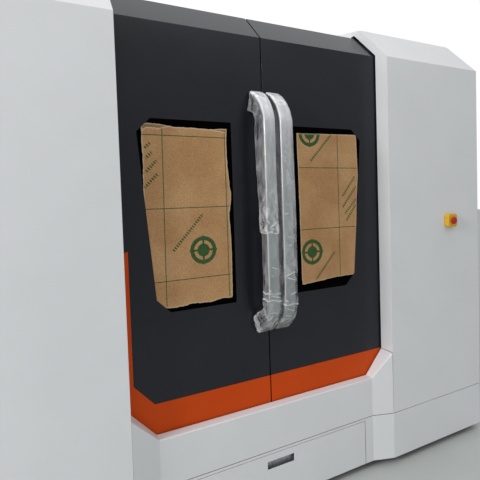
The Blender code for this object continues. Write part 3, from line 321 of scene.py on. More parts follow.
def wrappingFilm(s):
    # low-density polythene film: clear where it hangs free, milky where it clings, white along creases and
    # along painted highlights and glints; crumpled parts break into flat facets about 30 mm across, with a
    # bright line round each that is part fold whitening and part painted highlight
    material, add, place = newMaterial("polytheneFilm")
    milkAndOverheadLight, creaseAndHighlight, crumpled = ((add("Attribute", attribute_name=name), "Fac")
                              for name in ("milkAndOverheadLight", "creaseAndHighlight", "crumpled"))
    mapped = add("Mapping", {"Vector": place, "Scale": s["streaks"]})
    streaks = add("TexNoise", {"Vector": mapped, "Scale": 1.0, "Detail": 1.5})
    uneven = add("MapRange", [streaks, 0.3, 0.7, -0.08, 0.10])
    cover = add("Math", [milkAndOverheadLight, uneven], operation="ADD", use_clamp=True)
    sway = add("TexNoise", {"Vector": place, "Scale": s["bends"], "Detail": 2.0})
    swayed = add("Mix", {"Factor": s["bend"], 4: place, 5: (sway, "Color")}, data_type="VECTOR")
    turned = add("Mapping", {"Vector": (swayed, 1), "Rotation": s["facetTurn"], "Scale": s["facets"]})
    cells = add("TexVoronoi", {"Vector": turned, "Scale": 1.0})
    seams = add("TexVoronoi", {"Vector": turned, "Scale": 1.0}, feature="DISTANCE_TO_EDGE")
    tone = add("RGBToBW", [(cells, "Color")])
    facet = add("MapRange", [tone, 0.2, 0.8, -0.22, 0.30])
    facets = add("Math", [facet, crumpled, cover], operation="MULTIPLY_ADD", use_clamp=True)
    # bright line round each crumpled facet: part fold whitening, part painted highlight
    line = add("MapRange", [seams, 0.0, s["line"], 1.0, 0.0])
    lines = add("Math", [line, crumpled], operation="MULTIPLY")
    strong = add("Math", [lines, tone], operation="MULTIPLY")
    # creases together with the painted highlights and glints laid on the sleeve
    bright = add("Math", [strong, creaseAndHighlight], operation="MAXIMUM")
    white = add("Math", [bright, s["creaseAndHighlightCover"]], operation="MULTIPLY")
    waves = add("Bump", {"Height": streaks, "Strength": 0.35, "Distance": 0.004})
    depth = add("Math", [cells, crumpled], operation="MULTIPLY")
    add("OutputMaterial", [add("BsdfPrincipled", {
        "Base Color": add("ValToRGB", [bright], stops=[(0.0, s["thin"]), (1.0, s["folded"])]),
        "Alpha": add("Math", [facets, white], operation="MAXIMUM", use_clamp=True),
        "Normal": add("Bump", {"Height": depth, "Strength": 0.8, "Distance": 0.012, "Normal": waves}),
        "Roughness": 0.16, "IOR": 1.51, "Specular IOR Level": 0.9})])
    return material


def strokeMask(add, split, stroke, halfWidth, tick=None):
    # 1 on a straight stroke (x, z, x, z) in the door's plane; tick breaks it into short cross bars
    start, end = np.array(stroke[:2]), np.array(stroke[2:])
    length = np.linalg.norm(end - start)
    along = (end - start) / length
    across = np.array([-along[1], along[0]])
    masks = []
    for direction, low, high in ((across, -halfWidth, halfWidth), (along, 0.0, length)):
        xPart = add("Math", [(split, "X"), direction[0]], operation="MULTIPLY")
        both = add("Math", [(split, "Z"), direction[1], xPart], operation="MULTIPLY_ADD")
        middle = direction @ start + (low + high) / 2
        masks.append(add("Math", [both, middle, (high - low) / 2], operation="COMPARE"))
    if tick:
        turn = add("Math", [both, 2 * math.pi / tick], operation="MULTIPLY")
        wave = add("Math", [turn], operation="SINE")
        masks.append(add("Math", [wave, -0.2], operation="GREATER_THAN"))
    return allOf(add, masks, "MULTIPLY")


def allOf(add, masks, operation):
    # masks joined one after the other by a Math operation
    joined = masks[0]
    for mask in masks[1:]:
        joined = add("Math", [joined, mask], operation=operation)
    return joined


def ringMask(add, split, centre, radius, halfWidth):
    # 1 within halfWidth of a circle in the door's plane
    x, z = (add("Math", [(split, key), at], operation="SUBTRACT") for key, at in zip("XZ", centre))
    xx = add("Math", [x, x], operation="MULTIPLY")
    far = add("Math", [add("Math", [z, z, xx], operation="MULTIPLY_ADD")], operation="SQRT")
    return add("Math", [far, radius, halfWidth], operation="COMPARE")


# print in millimetres on the door's plane: strokes are (x, z, x, z), marks (x, z, radius)
paperPrint = {
    # the peeled band along the top is a darker brown: the inner ply's colour with painted shade under the
    # lifted ply
    "colour": "#cca274", "shade": "#ad875f", "ink": "#16522a", "innerPlyAndShade": "#8d6c4a", "fibre": "#e4d0ae",
    "lineWidth": 3.4, "scaleWidth": 12, "scaleTick": 11.5, "markWidth": 17,
    "disc": 0.55,                # radius of a mark's disc and half length of its cross, of the mark's
    "cross": 1.22,
    "lines": [(-476, 1720, -483.5, 960), (-203.5, 1700, -203.5, 960), (-600, 1671, -180, 1669),
              (-600, 1376, -180, 1375.5), (-600, 1080, -180, 1079.5), (406.5, 1720, 407.5, 980),
              (160, 1543.5, 560, 1542.5), (160, 1249, 560, 1247)],
    # plain tick scales across the sheet and on its margins
    "scales": [(-450, 1198, -313.4, 1347.7), (-549, 1617, -525, 1640), (-546, 1577, -522, 1601),
               (-549, 1521, -503, 1569), (-553, 1462, -500, 1517), (242, 1573, 368, 1705),
               (259, 1004, 376, 1129), (430, 1400, 512, 1498), (433, 1348, 518, 1449),
               (448, 1316, 517, 1384), (455, 1280, 516, 1358)],
    "marks": [(-317, 1195, 50), (240, 1138, 52), (240, 1705, 52)],
}


def kraftPaper(s):
    # kraft masking paper: long brown fibres, ruled green lines and register marks, paler torn edges, and a
    # darker band along the top where the upper ply is peeled, partly the inner ply's colour and partly
    # painted shade
    material, add, place = newMaterial("kraftMaskingPaper")
    split = add("SeparateXYZ", [place])
    pulp = add("TexNoise", {"Vector": place, "Scale": 170.0, "Detail": 3.0, "Roughness": 0.75})
    cloud = add("TexNoise", {"Vector": place, "Scale": 7.0, "Detail": 4.0})
    fine = add("ValToRGB", [pulp], stops=[(0.35, s["shade"]), (0.65, s["colour"])])
    broad = add("ValToRGB", [cloud], stops=[(0.35, "#ece4dc"), (0.65, "#ffffff")])
    surface = add("Mix", {"Factor": 1.0, 6: fine, 7: broad}, data_type="RGBA", blend_type="MULTIPLY")
    strokes = [(line, s["lineWidth"], None) for line in s["lines"]]
    strokes += [(scale, s["scaleWidth"], s["scaleTick"] * mm) for scale in s["scales"]]
    masks = []
    for x, z, radius in s["marks"]:
        centre = (x * mm, z * mm)
        masks.append(ringMask(add, split, centre, radius * mm, s["markWidth"] * mm / 2))
        masks.append(ringMask(add, split, centre, 0.0, radius * mm * s["disc"]))
        reach = radius * s["cross"]
        strokes += [((x - reach, z, x + reach, z), s["markWidth"] / 2, None),
                    ((x, z - reach, x, z + reach), s["markWidth"] / 2, None)]
    masks += [strokeMask(add, split, np.array(stroke) * mm, width * mm / 2, tick)
              for stroke, width, tick in strokes]
    worn = add("MapRange", [pulp, 0.4, 0.7, 1.0, 0.8])
    printed = add("Math", [allOf(add, masks, "MAXIMUM"), worn], operation="MULTIPLY")
    layers = [(printed, "ink")]
    # darker band of inner ply along the top, partly painted shade; then pale fibres
    layers += [((add("Attribute", attribute_name=name), "Fac"), colour)
               for name, colour in (("ply", "innerPlyAndShade"), ("fibre", "fibre"))]
    for share, colour in layers:
        surface = add("Mix", {"Factor": share, 6: (surface, 2), 7: linear(s[colour])}, data_type="RGBA")
    add("OutputMaterial", [add("BsdfPrincipled", {
        "Base Color": (surface, 2),
        "Normal": add("Bump", {"Height": pulp, "Strength": 0.5, "Distance": 0.0002}),
        "Roughness": 0.82, "Specular IOR Level": 0.2})])
    return material


materials = {
    "white_paint": powderCoat("whitePowderCoat", "#dedfe1", "#dadbdd", 0.30, 0.5),
    "dark_paint": powderCoat("graphiteStoveEnamel", "#1f2027", "#1b1c22", 0.22, 0.34),
    "orange_paint": powderCoat("orangeStoveEnamel", "#cf4a06", "#c84504", 0.24, 0.18),
    "dark_acrylic": castAcrylic(),
    "kraft_paper": kraftPaper(paperPrint),
    "wrapping_film": wrappingFilm(filmFinish),
    "bare_aluminium": brushedMetal("satinAnodisedAluminium", "#adb5b3", "#9ea6a4", 0.36, 2),
    "ground_steel": brushedMetal("groundSteel", "#b4b4b2", "#8e8e8e", 0.3, 1),
    "machine_paint": powderCoat("machineEnamel", "#54585b", "#4c5053", 0.5),
    "zinc_sheet": galvanisedSheet(),
    "black_paint": powderCoat("blackPowderCoat", "#1a1a1c", "#151517", 0.45),
    "brass": brushedMetal("turnedBrass", "#cda25c", "#b98a42", 0.28, 0),
    "red_plastic": mouldedPlastic("redNylon", "#b8141a", "#a81016", 0.38),
    "yellow_plastic": mouldedPlastic("yellowAbs", "#e0b01c", "#d2a216", 0.42),
}
for nodeName, node in nodes.items():
    node.data.materials.clear()
    node.data.materials.append(materials[slots[nodeName]])
print("materials made")


# Folded sheet metal: every fold gets its bending radius, every cut edge a hair of paint radius
folding = {
    "bendRadius": 0.0045,
    "edgeRadius": 0.0006,
    "sheet": 0.002,
    "leastAngle": 12,            # degrees between two faces that make a fold
    "nodes": ["front_casing_left", "front_casing_right", "sill_panel", "roof_panel", "drawer_front",
              "door_skin_left", "door_skin_right", "service_door"],
}


def foldedCopy(nodeName, s):
    source = nodes[nodeName]
    edit = bmesh.new()
    edit.from_mesh(source.data)
    bmesh.ops.remove_doubles(edit, verts=edit.verts, dist=0.00002)
    bmesh.ops.dissolve_limit(edit, angle_limit=math.radians(0.6), verts=edit.verts, edges=edit.edges)
    weights = edit.edges.layers.float.new("bevel_weight_edge")

    def span(face):
        return face.calc_area() / max(edge.calc_length() for edge in face.edges)

    for edge in edit.edges:
        if len(edge.link_faces) != 2 or edge.calc_face_angle(0) < math.radians(s["leastAngle"]):
            continue
        thin = min(span(face) for face in edge.link_faces) < 1.4 * s["sheet"]
        edge[weights] = s["edgeRadius"] / s["bendRadius"] if thin else 1.0
    mesh = bpy.data.meshes.new(nodeName + "_folded")
    edit.to_mesh(mesh)
    edit.free()
    mesh.shade_smooth()
    mesh.set_sharp_from_angle(angle=math.radians(35))
    piece = newPiece(nodeName + "_folded", mesh)
    bend = piece.modifiers.new("bend", "BEVEL")
    bend.limit_method = "WEIGHT"
    bend.width = s["bendRadius"]
    bend.segments = 3
    even = piece.modifiers.new("even", "WEIGHTED_NORMAL")
    even.keep_sharp = True
    finishPiece(piece, source["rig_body"], slots[nodeName], nodeName)


for nodeName in folding["nodes"]:
    foldedCopy(nodeName, folding)
print("folds rounded")

# machined and welded pieces: the same with a small radius on every edge, by node
softEdges = {
    "bed_frame": 0.005, "side_wall_left": 0.0006, "side_wall_right": 0.0006, "rear_wall": 0.0006,
    "door_track": 0.002, "door_guide": 0.001, "laser_source": 0.002, "stop_housing": 0.003,
    "door_frame_left": 0.003, "door_frame_right": 0.003, "door_trim_left": 0.0004, "door_trim_right": 0.0004,
    "window_pane_left": 0.0005, "window_pane_right": 0.0005, "gantry_beam": 0.002, "beam_end_left": 0.0012,
    "beam_end_right": 0.0012, "beam_rail_lower": 0.0008, "beam_rail_upper": 0.0008, "carriage_plate": 0.001,
    "lift_plate": 0.001, "scrap_tray": 0.0015, "guide_rail_left": 0.0006, "guide_rail_right": 0.0006,
}
for nodeName, radius in softEdges.items():
    foldedCopy(nodeName, {"bendRadius": radius, "edgeRadius": radius, "sheet": 0, "leastAngle": 25})
print("edges softened")


# Bow handles and the film round them
handle = {
    "depth": 0.022,
    "corner": 0.0045,
    "curve": 0.14,               # height of each curved end
    "bend": 1.25,                # 1 bends the ends as quarter ellipses, more flattens them
    "rows": 160,
    "perCorner": 8,
}
# each section of a sleeve: metres along the bow from its lower foot; then, in millimetres from the bar's
# centre line, the left and right side in front, the left and right side behind and the depth behind; and
# how crumpled the film is there
film = {
    "rows": 520,
    "columns": 168,
    "cling": 0.0012,             # film in front of the bar
    "endGap": 0.012,             # film edge to the door face
    "corner": 0.16,              # corner radius of the section, of its half size
    "fold": 0.0095,              # deepest fold where the film is fully crumpled
    "facets": (0.085, 0.022, 5),     # longest and shortest crumple, and how many lengths of them
    "drapes": (0.06, 0.022, 4),
    "drapeStretch": (1.0, 1.0, 0.16),
    "creaseWidth": 0.0028,
    "creaseHeight": 0.0022,
    "hem": 0.0022,               # width of the white edge at both ends
    "left": {
        "sections": [
            (0, 30, 30, 34, 28, 44, 1), (0.05, 34, 32, 38, 32, 56, 1), (0.1, 35, 33, 38, 33, 52, 1),
            (0.135, 32, 31, 33, 31, 38, 0.8), (0.16, 28, 27.5, 28, 27, 32, 0.4),
            (0.185, 32, 31, 32, 31, 39, 0.45), (0.25, 27.5, 27.2, 29, 27, 37, 0.25),
            (0.32, 26.8, 26.8, 28.5, 26.2, 36, 0.15), (0.488, 26.6, 26.6, 28.5, 26.2, 36, 0.12),
            (0.5, 28, 28, 29, 28, 37, 0.6), (0.504, 32, 32, 32, 32, 42, 0.85),
            (0.55, 27.5, 27.2, 30, 27, 42, 0.72), (0.75, 26.6, 26.6, 35, 26.2, 56, 0.12),
            (0.93, 26.6, 26.6, 37, 26.2, 60, 0.08), (1, 26.6, 26.6, 34, 26.2, 52, 0.15),
            (1.05, 26.6, 26.6, 33, 26.2, 50, 0.4), (1.11, 27, 27, 36, 26.2, 68, 0.65),
            (1.18, 28, 28, 36, 27, 74, 0.7)],
        "slant": (0.016, 0.034),     # how far the two ends are cut back: in front below, behind above
        "seed": 11,
        # creases across the front, (x, z, x, z) in millimetres and strength; the last, short stroke is a
        # painted glint
        "creasesAndGlints": [
            (-79.1, 1345, -54, 1328, 0.6), (-79.1, 1312, -68, 1293.6, 1), (-73.6, 1279.3, -27, 1303.6, 1),
            (-73.6, 1279.3, -28.2, 1266.8, 0.8), (-70, 1298.5, -30, 1276, 0.5),
            (-69.7, 1114.5, -31.6, 1100.3, 0.7), (-75.8, 1079.6, -52.2, 1071, 0.5),
            (-79.1, 1020, -70.8, 1007.5, 0.9), (-74.4, 992.1, -27, 980, 0.8), (-79, 918, -60, 915.7, 0.8),
            (-70.5, 953.5, -74.7, 922.2, 0.5), (-75.1, 915.7, -30, 915.2, 0.8),
            (-77.1, 892.4, -80, 867.4, 0.6), (-30.5, 895.5, -50.5, 855.4, 0.7), (-60, 900, -68, 850, 0.4),
            (-75, 1440, -68, 1436, 0.6)],
        # folds right round the sleeve: height in millimetres, fall towards the right, strength
        "bands": [(1257, 0.06, 0.8), (997.5, 0.1, 0.8), (970, 0.11, 0.9), (927, 0, 0.5)],
    },
    "right": {
        "sections": [
            (0, 28, 26, 28, 28, 34, 1), (0.05, 31, 32, 31, 34, 44, 1), (0.1, 33, 39, 32, 37, 50, 1),
            (0.135, 31, 39, 31, 36, 46, 0.8), (0.16, 28, 34, 27.5, 32, 40, 0.5),
            (0.185, 30, 37, 29, 36, 48, 0.45), (0.25, 27, 37, 26.2, 37, 48, 0.2),
            (0.34, 26.6, 38, 26.2, 36, 48, 0.55), (0.42, 26.6, 39, 26.2, 37, 50, 0.2),
            (0.62, 26.6, 39, 26.2, 36, 52, 0.32), (0.75, 26.6, 37, 26.2, 35, 54, 0.3),
            (0.93, 26.6, 35, 26.2, 34, 54, 0.12), (1, 26.6, 33.5, 26.2, 33, 50, 0.2),
            (1.05, 26.6, 32.5, 26.2, 33, 48, 0.45), (1.11, 26.6, 29.5, 26.2, 33, 50, 0.65),
            (1.18, 27, 27, 26, 33, 52, 0.7)],
        "slant": (0.030, 0.012),
        "seed": 27,
        "creasesAndGlints": [
            (3, 1386.1, 41.8, 1366.1, 0.6), (3.3, 1333.9, 28.6, 1337, 0.9), (12.7, 1242.3, 52, 1225.8, 0.7),
            (18.8, 1197.1, 41.3, 1201.8, 0.8), (0, 1066, 52, 1083.9, 1), (0, 1063.9, 55, 1045, 0.9),
            (21.7, 984.5, 55, 994.9, 0.9), (0, 965.4, 12, 954.7, 1), (2, 929.4, 55, 907, 0.7),
            (0, 898.3, 52, 881.8, 0.8), (4.3, 876.5, 42.9, 873.1, 0.6), (-3.5, 850.4, 35.4, 849.5, 0.6),
            # from here to the end, short strokes that are painted glints, not creases
            (20, 1602, 23, 1590, 0.7), (19, 1563, 22, 1553, 0.7), (27.5, 1502, 31, 1497, 0.8),
            (33, 1440, 36, 1446, 0.6), (26, 1412, 40, 1420, 0.5)],
        "bands": [(943, 0.07, 0.8), (1290, -0.1, 0.25)],
    },
}


def bowTable(low, high, s):
    # centre line of a bow handle, y = foot - reach sin(a)^bend and z = low + curve (1 - cos(a)^bend), then
    # straight, then mirrored; with the outward direction and the length along it
    reach = high.y - low.y - s["depth"] / 2
    foot, head = low.z + s["depth"] / 2, high.z - s["depth"] / 2
    angle = np.linspace(0, math.pi / 2, 240)
    y = high.y - reach * np.sin(angle) ** s["bend"]
    rise = s["curve"] * (1 - np.maximum(np.cos(angle), 0) ** s["bend"])
    line = np.array([np.concatenate([y, y[::-1]]), np.concatenate([foot + rise, head - rise[::-1]])])
    length = np.concatenate([[0], np.cumsum(np.hypot(*np.diff(line)))])
    even = np.linspace(0, length[-1], 2000)
    line = np.array([np.interp(even, length, part) for part in line])
    along = np.gradient(line, axis=1)
    soft = np.hanning(81) / np.hanning(81).sum()
    along = np.array([np.convolve(np.pad(part, 40, "edge"), soft, "valid") for part in along])
    along /= np.hypot(*along)
    return {"at": even, "y": line[0], "z": line[1], "outY": -along[1], "outZ": along[0]}


def alongBow(table, at):
    return [np.interp(at, table["at"], table[key]) for key in ("y", "z", "outY", "outZ")]


def roundedLoop(halfWidth, halfDepth, corner, perCorner):
    # closed outline with quarter circles at its corners, as (across, outwards)
    turn = np.linspace(0, math.pi / 2, perCorner)
    loop = []
    for quarter, (side, front) in enumerate(((1, 1), (-1, 1), (-1, -1), (1, -1))):
        angle = turn + quarter * math.pi / 2
        loop.append(np.stack([side * (halfWidth - corner) + corner * np.cos(angle),
                              front * (halfDepth - corner) + corner * np.sin(angle)], axis=1))
    return np.concatenate(loop)


def bowHandle(side, s):
    # rounded-rectangle section carried along the bow line
    name = "door_handle_" + side
    low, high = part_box(name)
    table = bowTable(low, high, s)
    loop = roundedLoop((high.x - low.x) / 2, s["depth"] / 2, s["corner"], s["perCorner"])
    y, z, outY, outZ = alongBow(table, np.linspace(0, table["at"][-1], s["rows"])[:, None])
    x = (low.x + high.x) / 2 + loop[:, 0] + 0 * y
    y = np.minimum(y + outY * loop[:, 1], high.y)
    z = z + outZ * loop[:, 1]
    piece = gridPiece("bow_handle_" + side, [np.stack([x, y, z], axis=-1)], around=True, caps=True)
    turnOutwards(piece, 60)
    finishPiece(piece, "door_" + side, slots[name], name)


def crumple(points, seed, longest, shortest, waves=9, ridgeWidth=0.0026):
    # triangle waves along random directions: flat facets (0 to 1) that meet in creases about 3 mm wide
    draw = np.random.default_rng(seed)
    total, ridge, weight = 0.0, 0.0, 0.0
    for length in np.geomspace(longest, shortest, waves):
        direction, sway = draw.normal(size=(2, 3))
        direction /= np.linalg.norm(direction)
        phase = points @ direction / length + draw.uniform() + 0.35 * np.sin(points @ sway / length * 1.7)
        wave = 1 - np.abs(2 * (phase % 1) - 1)
        total = total + wave * length
        weight += length
        ridge = np.maximum(ridge, wave ** (length / ridgeWidth) * draw.uniform(0.3, 1.0))
    return total / weight, ridge


def evenLoop(count, corner):
    # square loop of half size 1 with rounded corners, at even steps
    fine = roundedLoop(1, 1, corner, 40)
    fine = np.vstack([fine, fine[:1]])
    length = np.concatenate([[0], np.cumsum(np.hypot(*np.diff(fine, axis=0).T))])
    even = np.linspace(0, length[-1], count, endpoint=False)
    return np.interp(even, length, fine[:, 0]), np.interp(even, length, fine[:, 1])


def filmSleeve(side, s, bow):
    # loose sleeve round the bow: a boxy loop whose sides and depth change along it, clinging to the
    # bar's front, hanging free behind it, pushed outwards by crumples and creases
    name = "handle_film_" + side
    low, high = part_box("door_handle_" + side)
    middle = (low.x + high.x) / 2
    table = bowTable(low, high, bow)
    shape = s[side]
    u, v = evenLoop(s["columns"], s["corner"])
    half = len(table["at"]) // 10
    first = np.interp(high.y - s["endGap"], table["y"][:half][::-1], table["at"][:half][::-1])
    lowCut, highCut = shape["slant"]
    start = first + lowCut * (1 + v) / 2
    end = table["at"][-1] - first - highCut * (1 - v) / 2
    at = start + (end - start) * np.linspace(0, 1, s["rows"])[:, None]
    levels, *sizes, slackness = np.array(shape["sections"]).T
    frontLeft, frontRight, backLeft, backRight, back = (np.interp(at, levels, size * mm) for size in sizes)
    crumpled = np.interp(at, levels, slackness)
    nearFront = (1 + v) / 2
    toLeft = backLeft + (frontLeft - backLeft) * nearFront
    toRight = backRight + (frontRight - backRight) * nearFront
    front = bow["depth"] / 2 + s["cling"]
    out = (front - back) / 2 + (front + back) / 2 * v
    y, z, outY, outZ = alongBow(table, at)
    x = middle + np.where(u < 0, toLeft, toRight) * u
    points = np.stack([x, y + outY * out, z + outZ * out], axis=-1)
    x, z = points[..., 0], points[..., 2]
    # direction that leads out of the sleeve at each point
    sideways, forward = np.abs(u) ** 8 * np.sign(u), np.abs(v) ** 8 * np.sign(v)
    norm = np.hypot(sideways, forward)
    push = np.stack([sideways / norm + 0 * x, outY * forward / norm, outZ * forward / norm], axis=-1)
    facets, ridge = crumple(points, shape["seed"], *s["facets"])
    drapes, pleat = crumple(points * np.array(s["drapeStretch"]), shape["seed"] + 5, *s["drapes"])
    onFront = np.clip((v - 0.7) / 0.25, 0, 1)
    slack = crumpled * (1 - 0.45 * onFront) + (1 - onFront) * 0.16
    lift = s["fold"] * slack * (0.6 * facets + 0.4 * drapes)
    marks = 0 * x
    for *ends, strength in shape["creasesAndGlints"]:
        x0, z0, x1, z1 = np.array(ends) * mm
        run = np.array([x1 - x0, z1 - z0])
        share = np.clip(((x - x0) * run[0] + (z - z0) * run[1]) / (run @ run), 0, 1)
        far = np.hypot(x - x0 - share * run[0], z - z0 - share * run[1])
        taper = 1 - 0.6 * np.abs(2 * share - 1) ** 3
        marks = np.maximum(marks, strength * taper * np.exp(-(far / s["creaseWidth"]) ** 2) * (v > 0.3))
    for level, fall, strength in shape["bands"]:
        level = level * mm
        sway = fall * (x - middle) + 0.0025 * np.sin(4.1 * np.arctan2(u, v) + 90 * level)
        far = np.abs(z - level + sway)
        patchy = 0.45 + 0.75 * drapes
        marks = np.maximum(marks, strength * patchy * np.exp(-(far / (1.5 * s["creaseWidth"])) ** 2))
    points = points + push * (lift + s["creaseHeight"] * marks)[..., None]
    piece = gridPiece("film_sleeve_" + side, [points], around=True)
    # white along hems and creases, with painted highlights along the front and back corners, a broad painted
    # highlight on the left of the front and painted glints; milky in front, more so higher up, partly as
    # painted light from above
    hem = np.exp(-(np.minimum(at - start, end - at) / s["hem"]) ** 2)
    height = np.clip((at - 0.25) / 0.95, 0, 1)
    tight = np.clip(1.35 - 1.25 * crumpled, 0.12, 1) * (0.55 + 0.45 * height)
    # painted highlight along the front-left corner, stronger where the film is tight and higher up
    frontCornerHighlight = np.exp(-((u + 1) ** 2 + (v - 1) ** 2) / 0.03) * (0.70 + 0.45 * drapes) * tight
    # broad painted highlight over the left of the front, the side towards the soft box, stronger higher up
    leftFrontHighlight = np.exp(-((u + 1) / 0.45) ** 2) * onFront * (0.18 + 0.42 * height) * (0.7 + 0.5 * drapes)
    # painted highlight along both back corners, where the film is seen edge-on
    backCornerHighlight = np.exp(-((np.abs(u) - 1) ** 2 + (v + 1) ** 2) / 0.03) * (0.3 + 0.4 * facets)
    # ridge lines of the crumples and pleats: part fold whitening, part painted highlight
    sharp = ridge * (0.04 + 0.70 * crumpled) + pleat * (1 - onFront) * 0.30
    creaseAndHighlight = np.clip(np.maximum.reduce([sharp, marks, hem, frontCornerHighlight, leftFrontHighlight, backCornerHighlight]), 0, 1)
    top = np.clip((at - 0.88) / 0.2, 0, 1)
    onSide = 0.07 + 0.28 * np.clip(drapes * facets * 2 - 0.35, 0, 1) + 0.14 * crumpled
    # milkier higher up on the front and at the top: the film's own haze and bunching, with painted light
    # from above
    milkAndOverheadLight = onSide + onFront * (0.10 + 0.48 * height + 0.34 * top + 0.24 * crumpled ** 2 - onSide)
    pointValues(piece, "creaseAndHighlight", creaseAndHighlight)
    pointValues(piece, "milkAndOverheadLight", milkAndOverheadLight)
    pointValues(piece, "crumpled", np.clip(crumpled + 0 * x, 0, 1))
    finishPiece(piece, "door_" + side, slots[name], name)


for side in ("left", "right"):
    bowHandle(side, handle)
    filmSleeve(side, film, handle)
print("handles wrapped")


# Turned, toothed and screwed details: stacks of one loop, scaled and set at stations along an axis
def crossAxes(axis):
    return [k for k in range(3) if k != axis]


def boxCentre(nodeName, axis):
    # middle of a node's box, across the axis
    low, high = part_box(nodeName)
    return [(low[k] + high[k]) / 2 for k in crossAxes(axis)]


def boxEnds(nodeName, axis, towards):
    # where a node's box starts and ends along the axis, going towards +1 or -1
    low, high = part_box(nodeName)
    return (low[axis], high[axis]) if towards > 0 else (high[axis], low[axis])


def stackGrid(axis, centre, stations, loop):
    # loop (n, 2) times each station's factor, at its level along the axis
    stations = np.array(stations, float)
    grid = np.zeros((len(stations), len(loop), 3))
    grid[..., axis] = stations[:, 1:]
    for k, place, column in zip(crossAxes(axis), centre, loop.T):
        grid[..., k] = place + stations[:, :1] * column
    return grid


def stackPiece(name, grids, body, slotName, *standsFor, sharpAngle=35, caps=True):
    piece = gridPiece(name, grids, around=True, caps=caps)
    turnOutwards(piece, sharpAngle)
    finishPiece(piece, body, slotName, *standsFor)


def turnedPiece(name, nodeName, axis, sections, **settings):
    # sections are a loop and its (radius, level) stations in millimetres, levels from the low end of the box
    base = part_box(nodeName)[0][axis]
    grids = [stackGrid(axis, boxCentre(nodeName, axis), [(r * mm, base + up * mm) for r, up in stations],
                       loop) for loop, stations in sections]
    stackPiece(name, grids, nodes[nodeName]["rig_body"], slots[nodeName], nodeName, **settings)


def circleLoop(sides):
    turn = np.linspace(0, 2 * math.pi, sides, endpoint=False)
    return np.stack([np.cos(turn), np.sin(turn)], axis=1)


def gearLoop(teeth, root, tip):
    # each tooth is a trapezoid: root, flank up, tip, flank down
    shift = np.tile([0.0, 0.35, 0.0, 0.35], teeth) - 0.175
    turn = (np.arange(teeth * 4) + shift) * 2 * math.pi / (teeth * 4)
    radius = np.tile([root, tip, tip, root], teeth)
    return np.stack([radius * np.cos(turn), radius * np.sin(turn)], axis=1)


def evenly(start, end, pitch):
    return np.linspace(start, end, max(2, int(round(abs(end - start) / pitch)) + 1))


# button-head screw in head radii: (radius, height) up its dome, and down its hexagon socket
screwHead = {
    "dome": [(1.0, -0.2), (1.0, 0.22), (0.92, 0.40), (0.72, 0.55), (0.50, 0.60)],
    "socket": [(0.42, 0.605), (0.40, 0.30)],
}


def screwHeads(name, places, axis, facing, radius, body, slotName="ground_steel"):
    # facing is the sign of the axis that the heads look along
    grids = []
    for place in places:
        for key, sides in (("dome", 14), ("socket", 6)):
            stations = [(radius * scale, place[axis] + facing * radius * up) for scale, up in screwHead[key]]
            grids.append(stackGrid(axis, [place[k] for k in crossAxes(axis)], stations, circleLoop(sides)))
    stackPiece(name, grids, body, slotName)


# servo motors: flange with four screws, round gearbox, ribbed case, end cap. Stations are (size in widths,
# level in widths) for the flange, (size in widths, level in lengths) for the rest
servo = {
    "motors": {"gantry_motor_left": (2, 0.080, 1), "gantry_motor_right": (2, 0.080, 1),
               "lift_motor": (2, 0.056, 1), "carriage_motor": (1, 0.060, -1)},     # axis, width, towards
    "corner": 0.24,
    "flange": [(0.485, 0), (0.5, 0.006), (0.5, 0.13), (0.485, 0.136)],
    "gearbox": [(0.44, 0.10), (0.44, 0.20), (0.42, 0.205), (0.42, 0.22), (0.44, 0.225), (0.44, 0.36),
                (0.40, 0.39), (0.40, 0.42)],
    "caseFoot": [(0.43, 0.40), (0.45, 0.41)],
    "ribsFrom": 0.44,
    "ribsLeave": 0.17,
    "rib": [(0.45, 0.0), (0.43, 0.0012), (0.43, 0.0028), (0.45, 0.0040)],          # levels in metres
    "ribPitch": 0.0072,
    "caseHead": [(0.45, 0.86), (0.44, 0.865), (0.44, 0.875), (0.45, 0.88), (0.45, 0.98), (0.43, 1.0)],
    "screw": 0.05,
    "screwAt": 0.40,
}


def servoMotor(name, axis, width, towards, s):
    start, end = boxEnds(name, axis, towards)
    length = end - start
    centre = boxCentre(name, axis)
    body = nodes[name]["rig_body"]
    flange, gearbox, foot, head = (
        [(width * size, start + unit * up) for size, up in s[key]]
        for key, unit in (("flange", towards * width), ("gearbox", length), ("caseFoot", length),
                          ("caseHead", length)))
    ribs = []
    level = start + length * s["ribsFrom"]
    while (end - level) * towards > abs(length) * s["ribsLeave"]:
        ribs += [(width * size, level + towards * up) for size, up in s["rib"]]
        level += towards * s["ribPitch"]
    square = roundedLoop(1, 1, s["corner"], 6)
    grids = [stackGrid(axis, centre, flange, square), stackGrid(axis, centre, gearbox, circleLoop(48)),
             stackGrid(axis, centre, foot + ribs + head, square)]
    stackPiece(name + "_ribbed", grids, body, slots[name], name, sharpAngle=30)
    places = []
    for u, v in ((-1, -1), (-1, 1), (1, -1), (1, 1)):
        place = [centre[0] + u * width * s["screwAt"], centre[1] + v * width * s["screwAt"]]
        place.insert(axis, flange[-1][1])
        places.append(place)
    screwHeads(name + "_screws", places, axis, towards, width * s["screw"], body)


for nodeName, settings in servo["motors"].items():
    servoMotor(nodeName, *settings, servo)

# racks and pinions: module 1.87, teeth 5.9 mm apart
gearing = {"teeth": 20, "root": 0.0168, "tip": 0.0200, "pitch": 0.00589, "depth": 0.0032, "wheel": 0.018,
           "edge": 0.0008, "hub": 0.0112, "shaft": 0.0077, "tooth": (0.05, 0.27, 0.55, 0.77)}


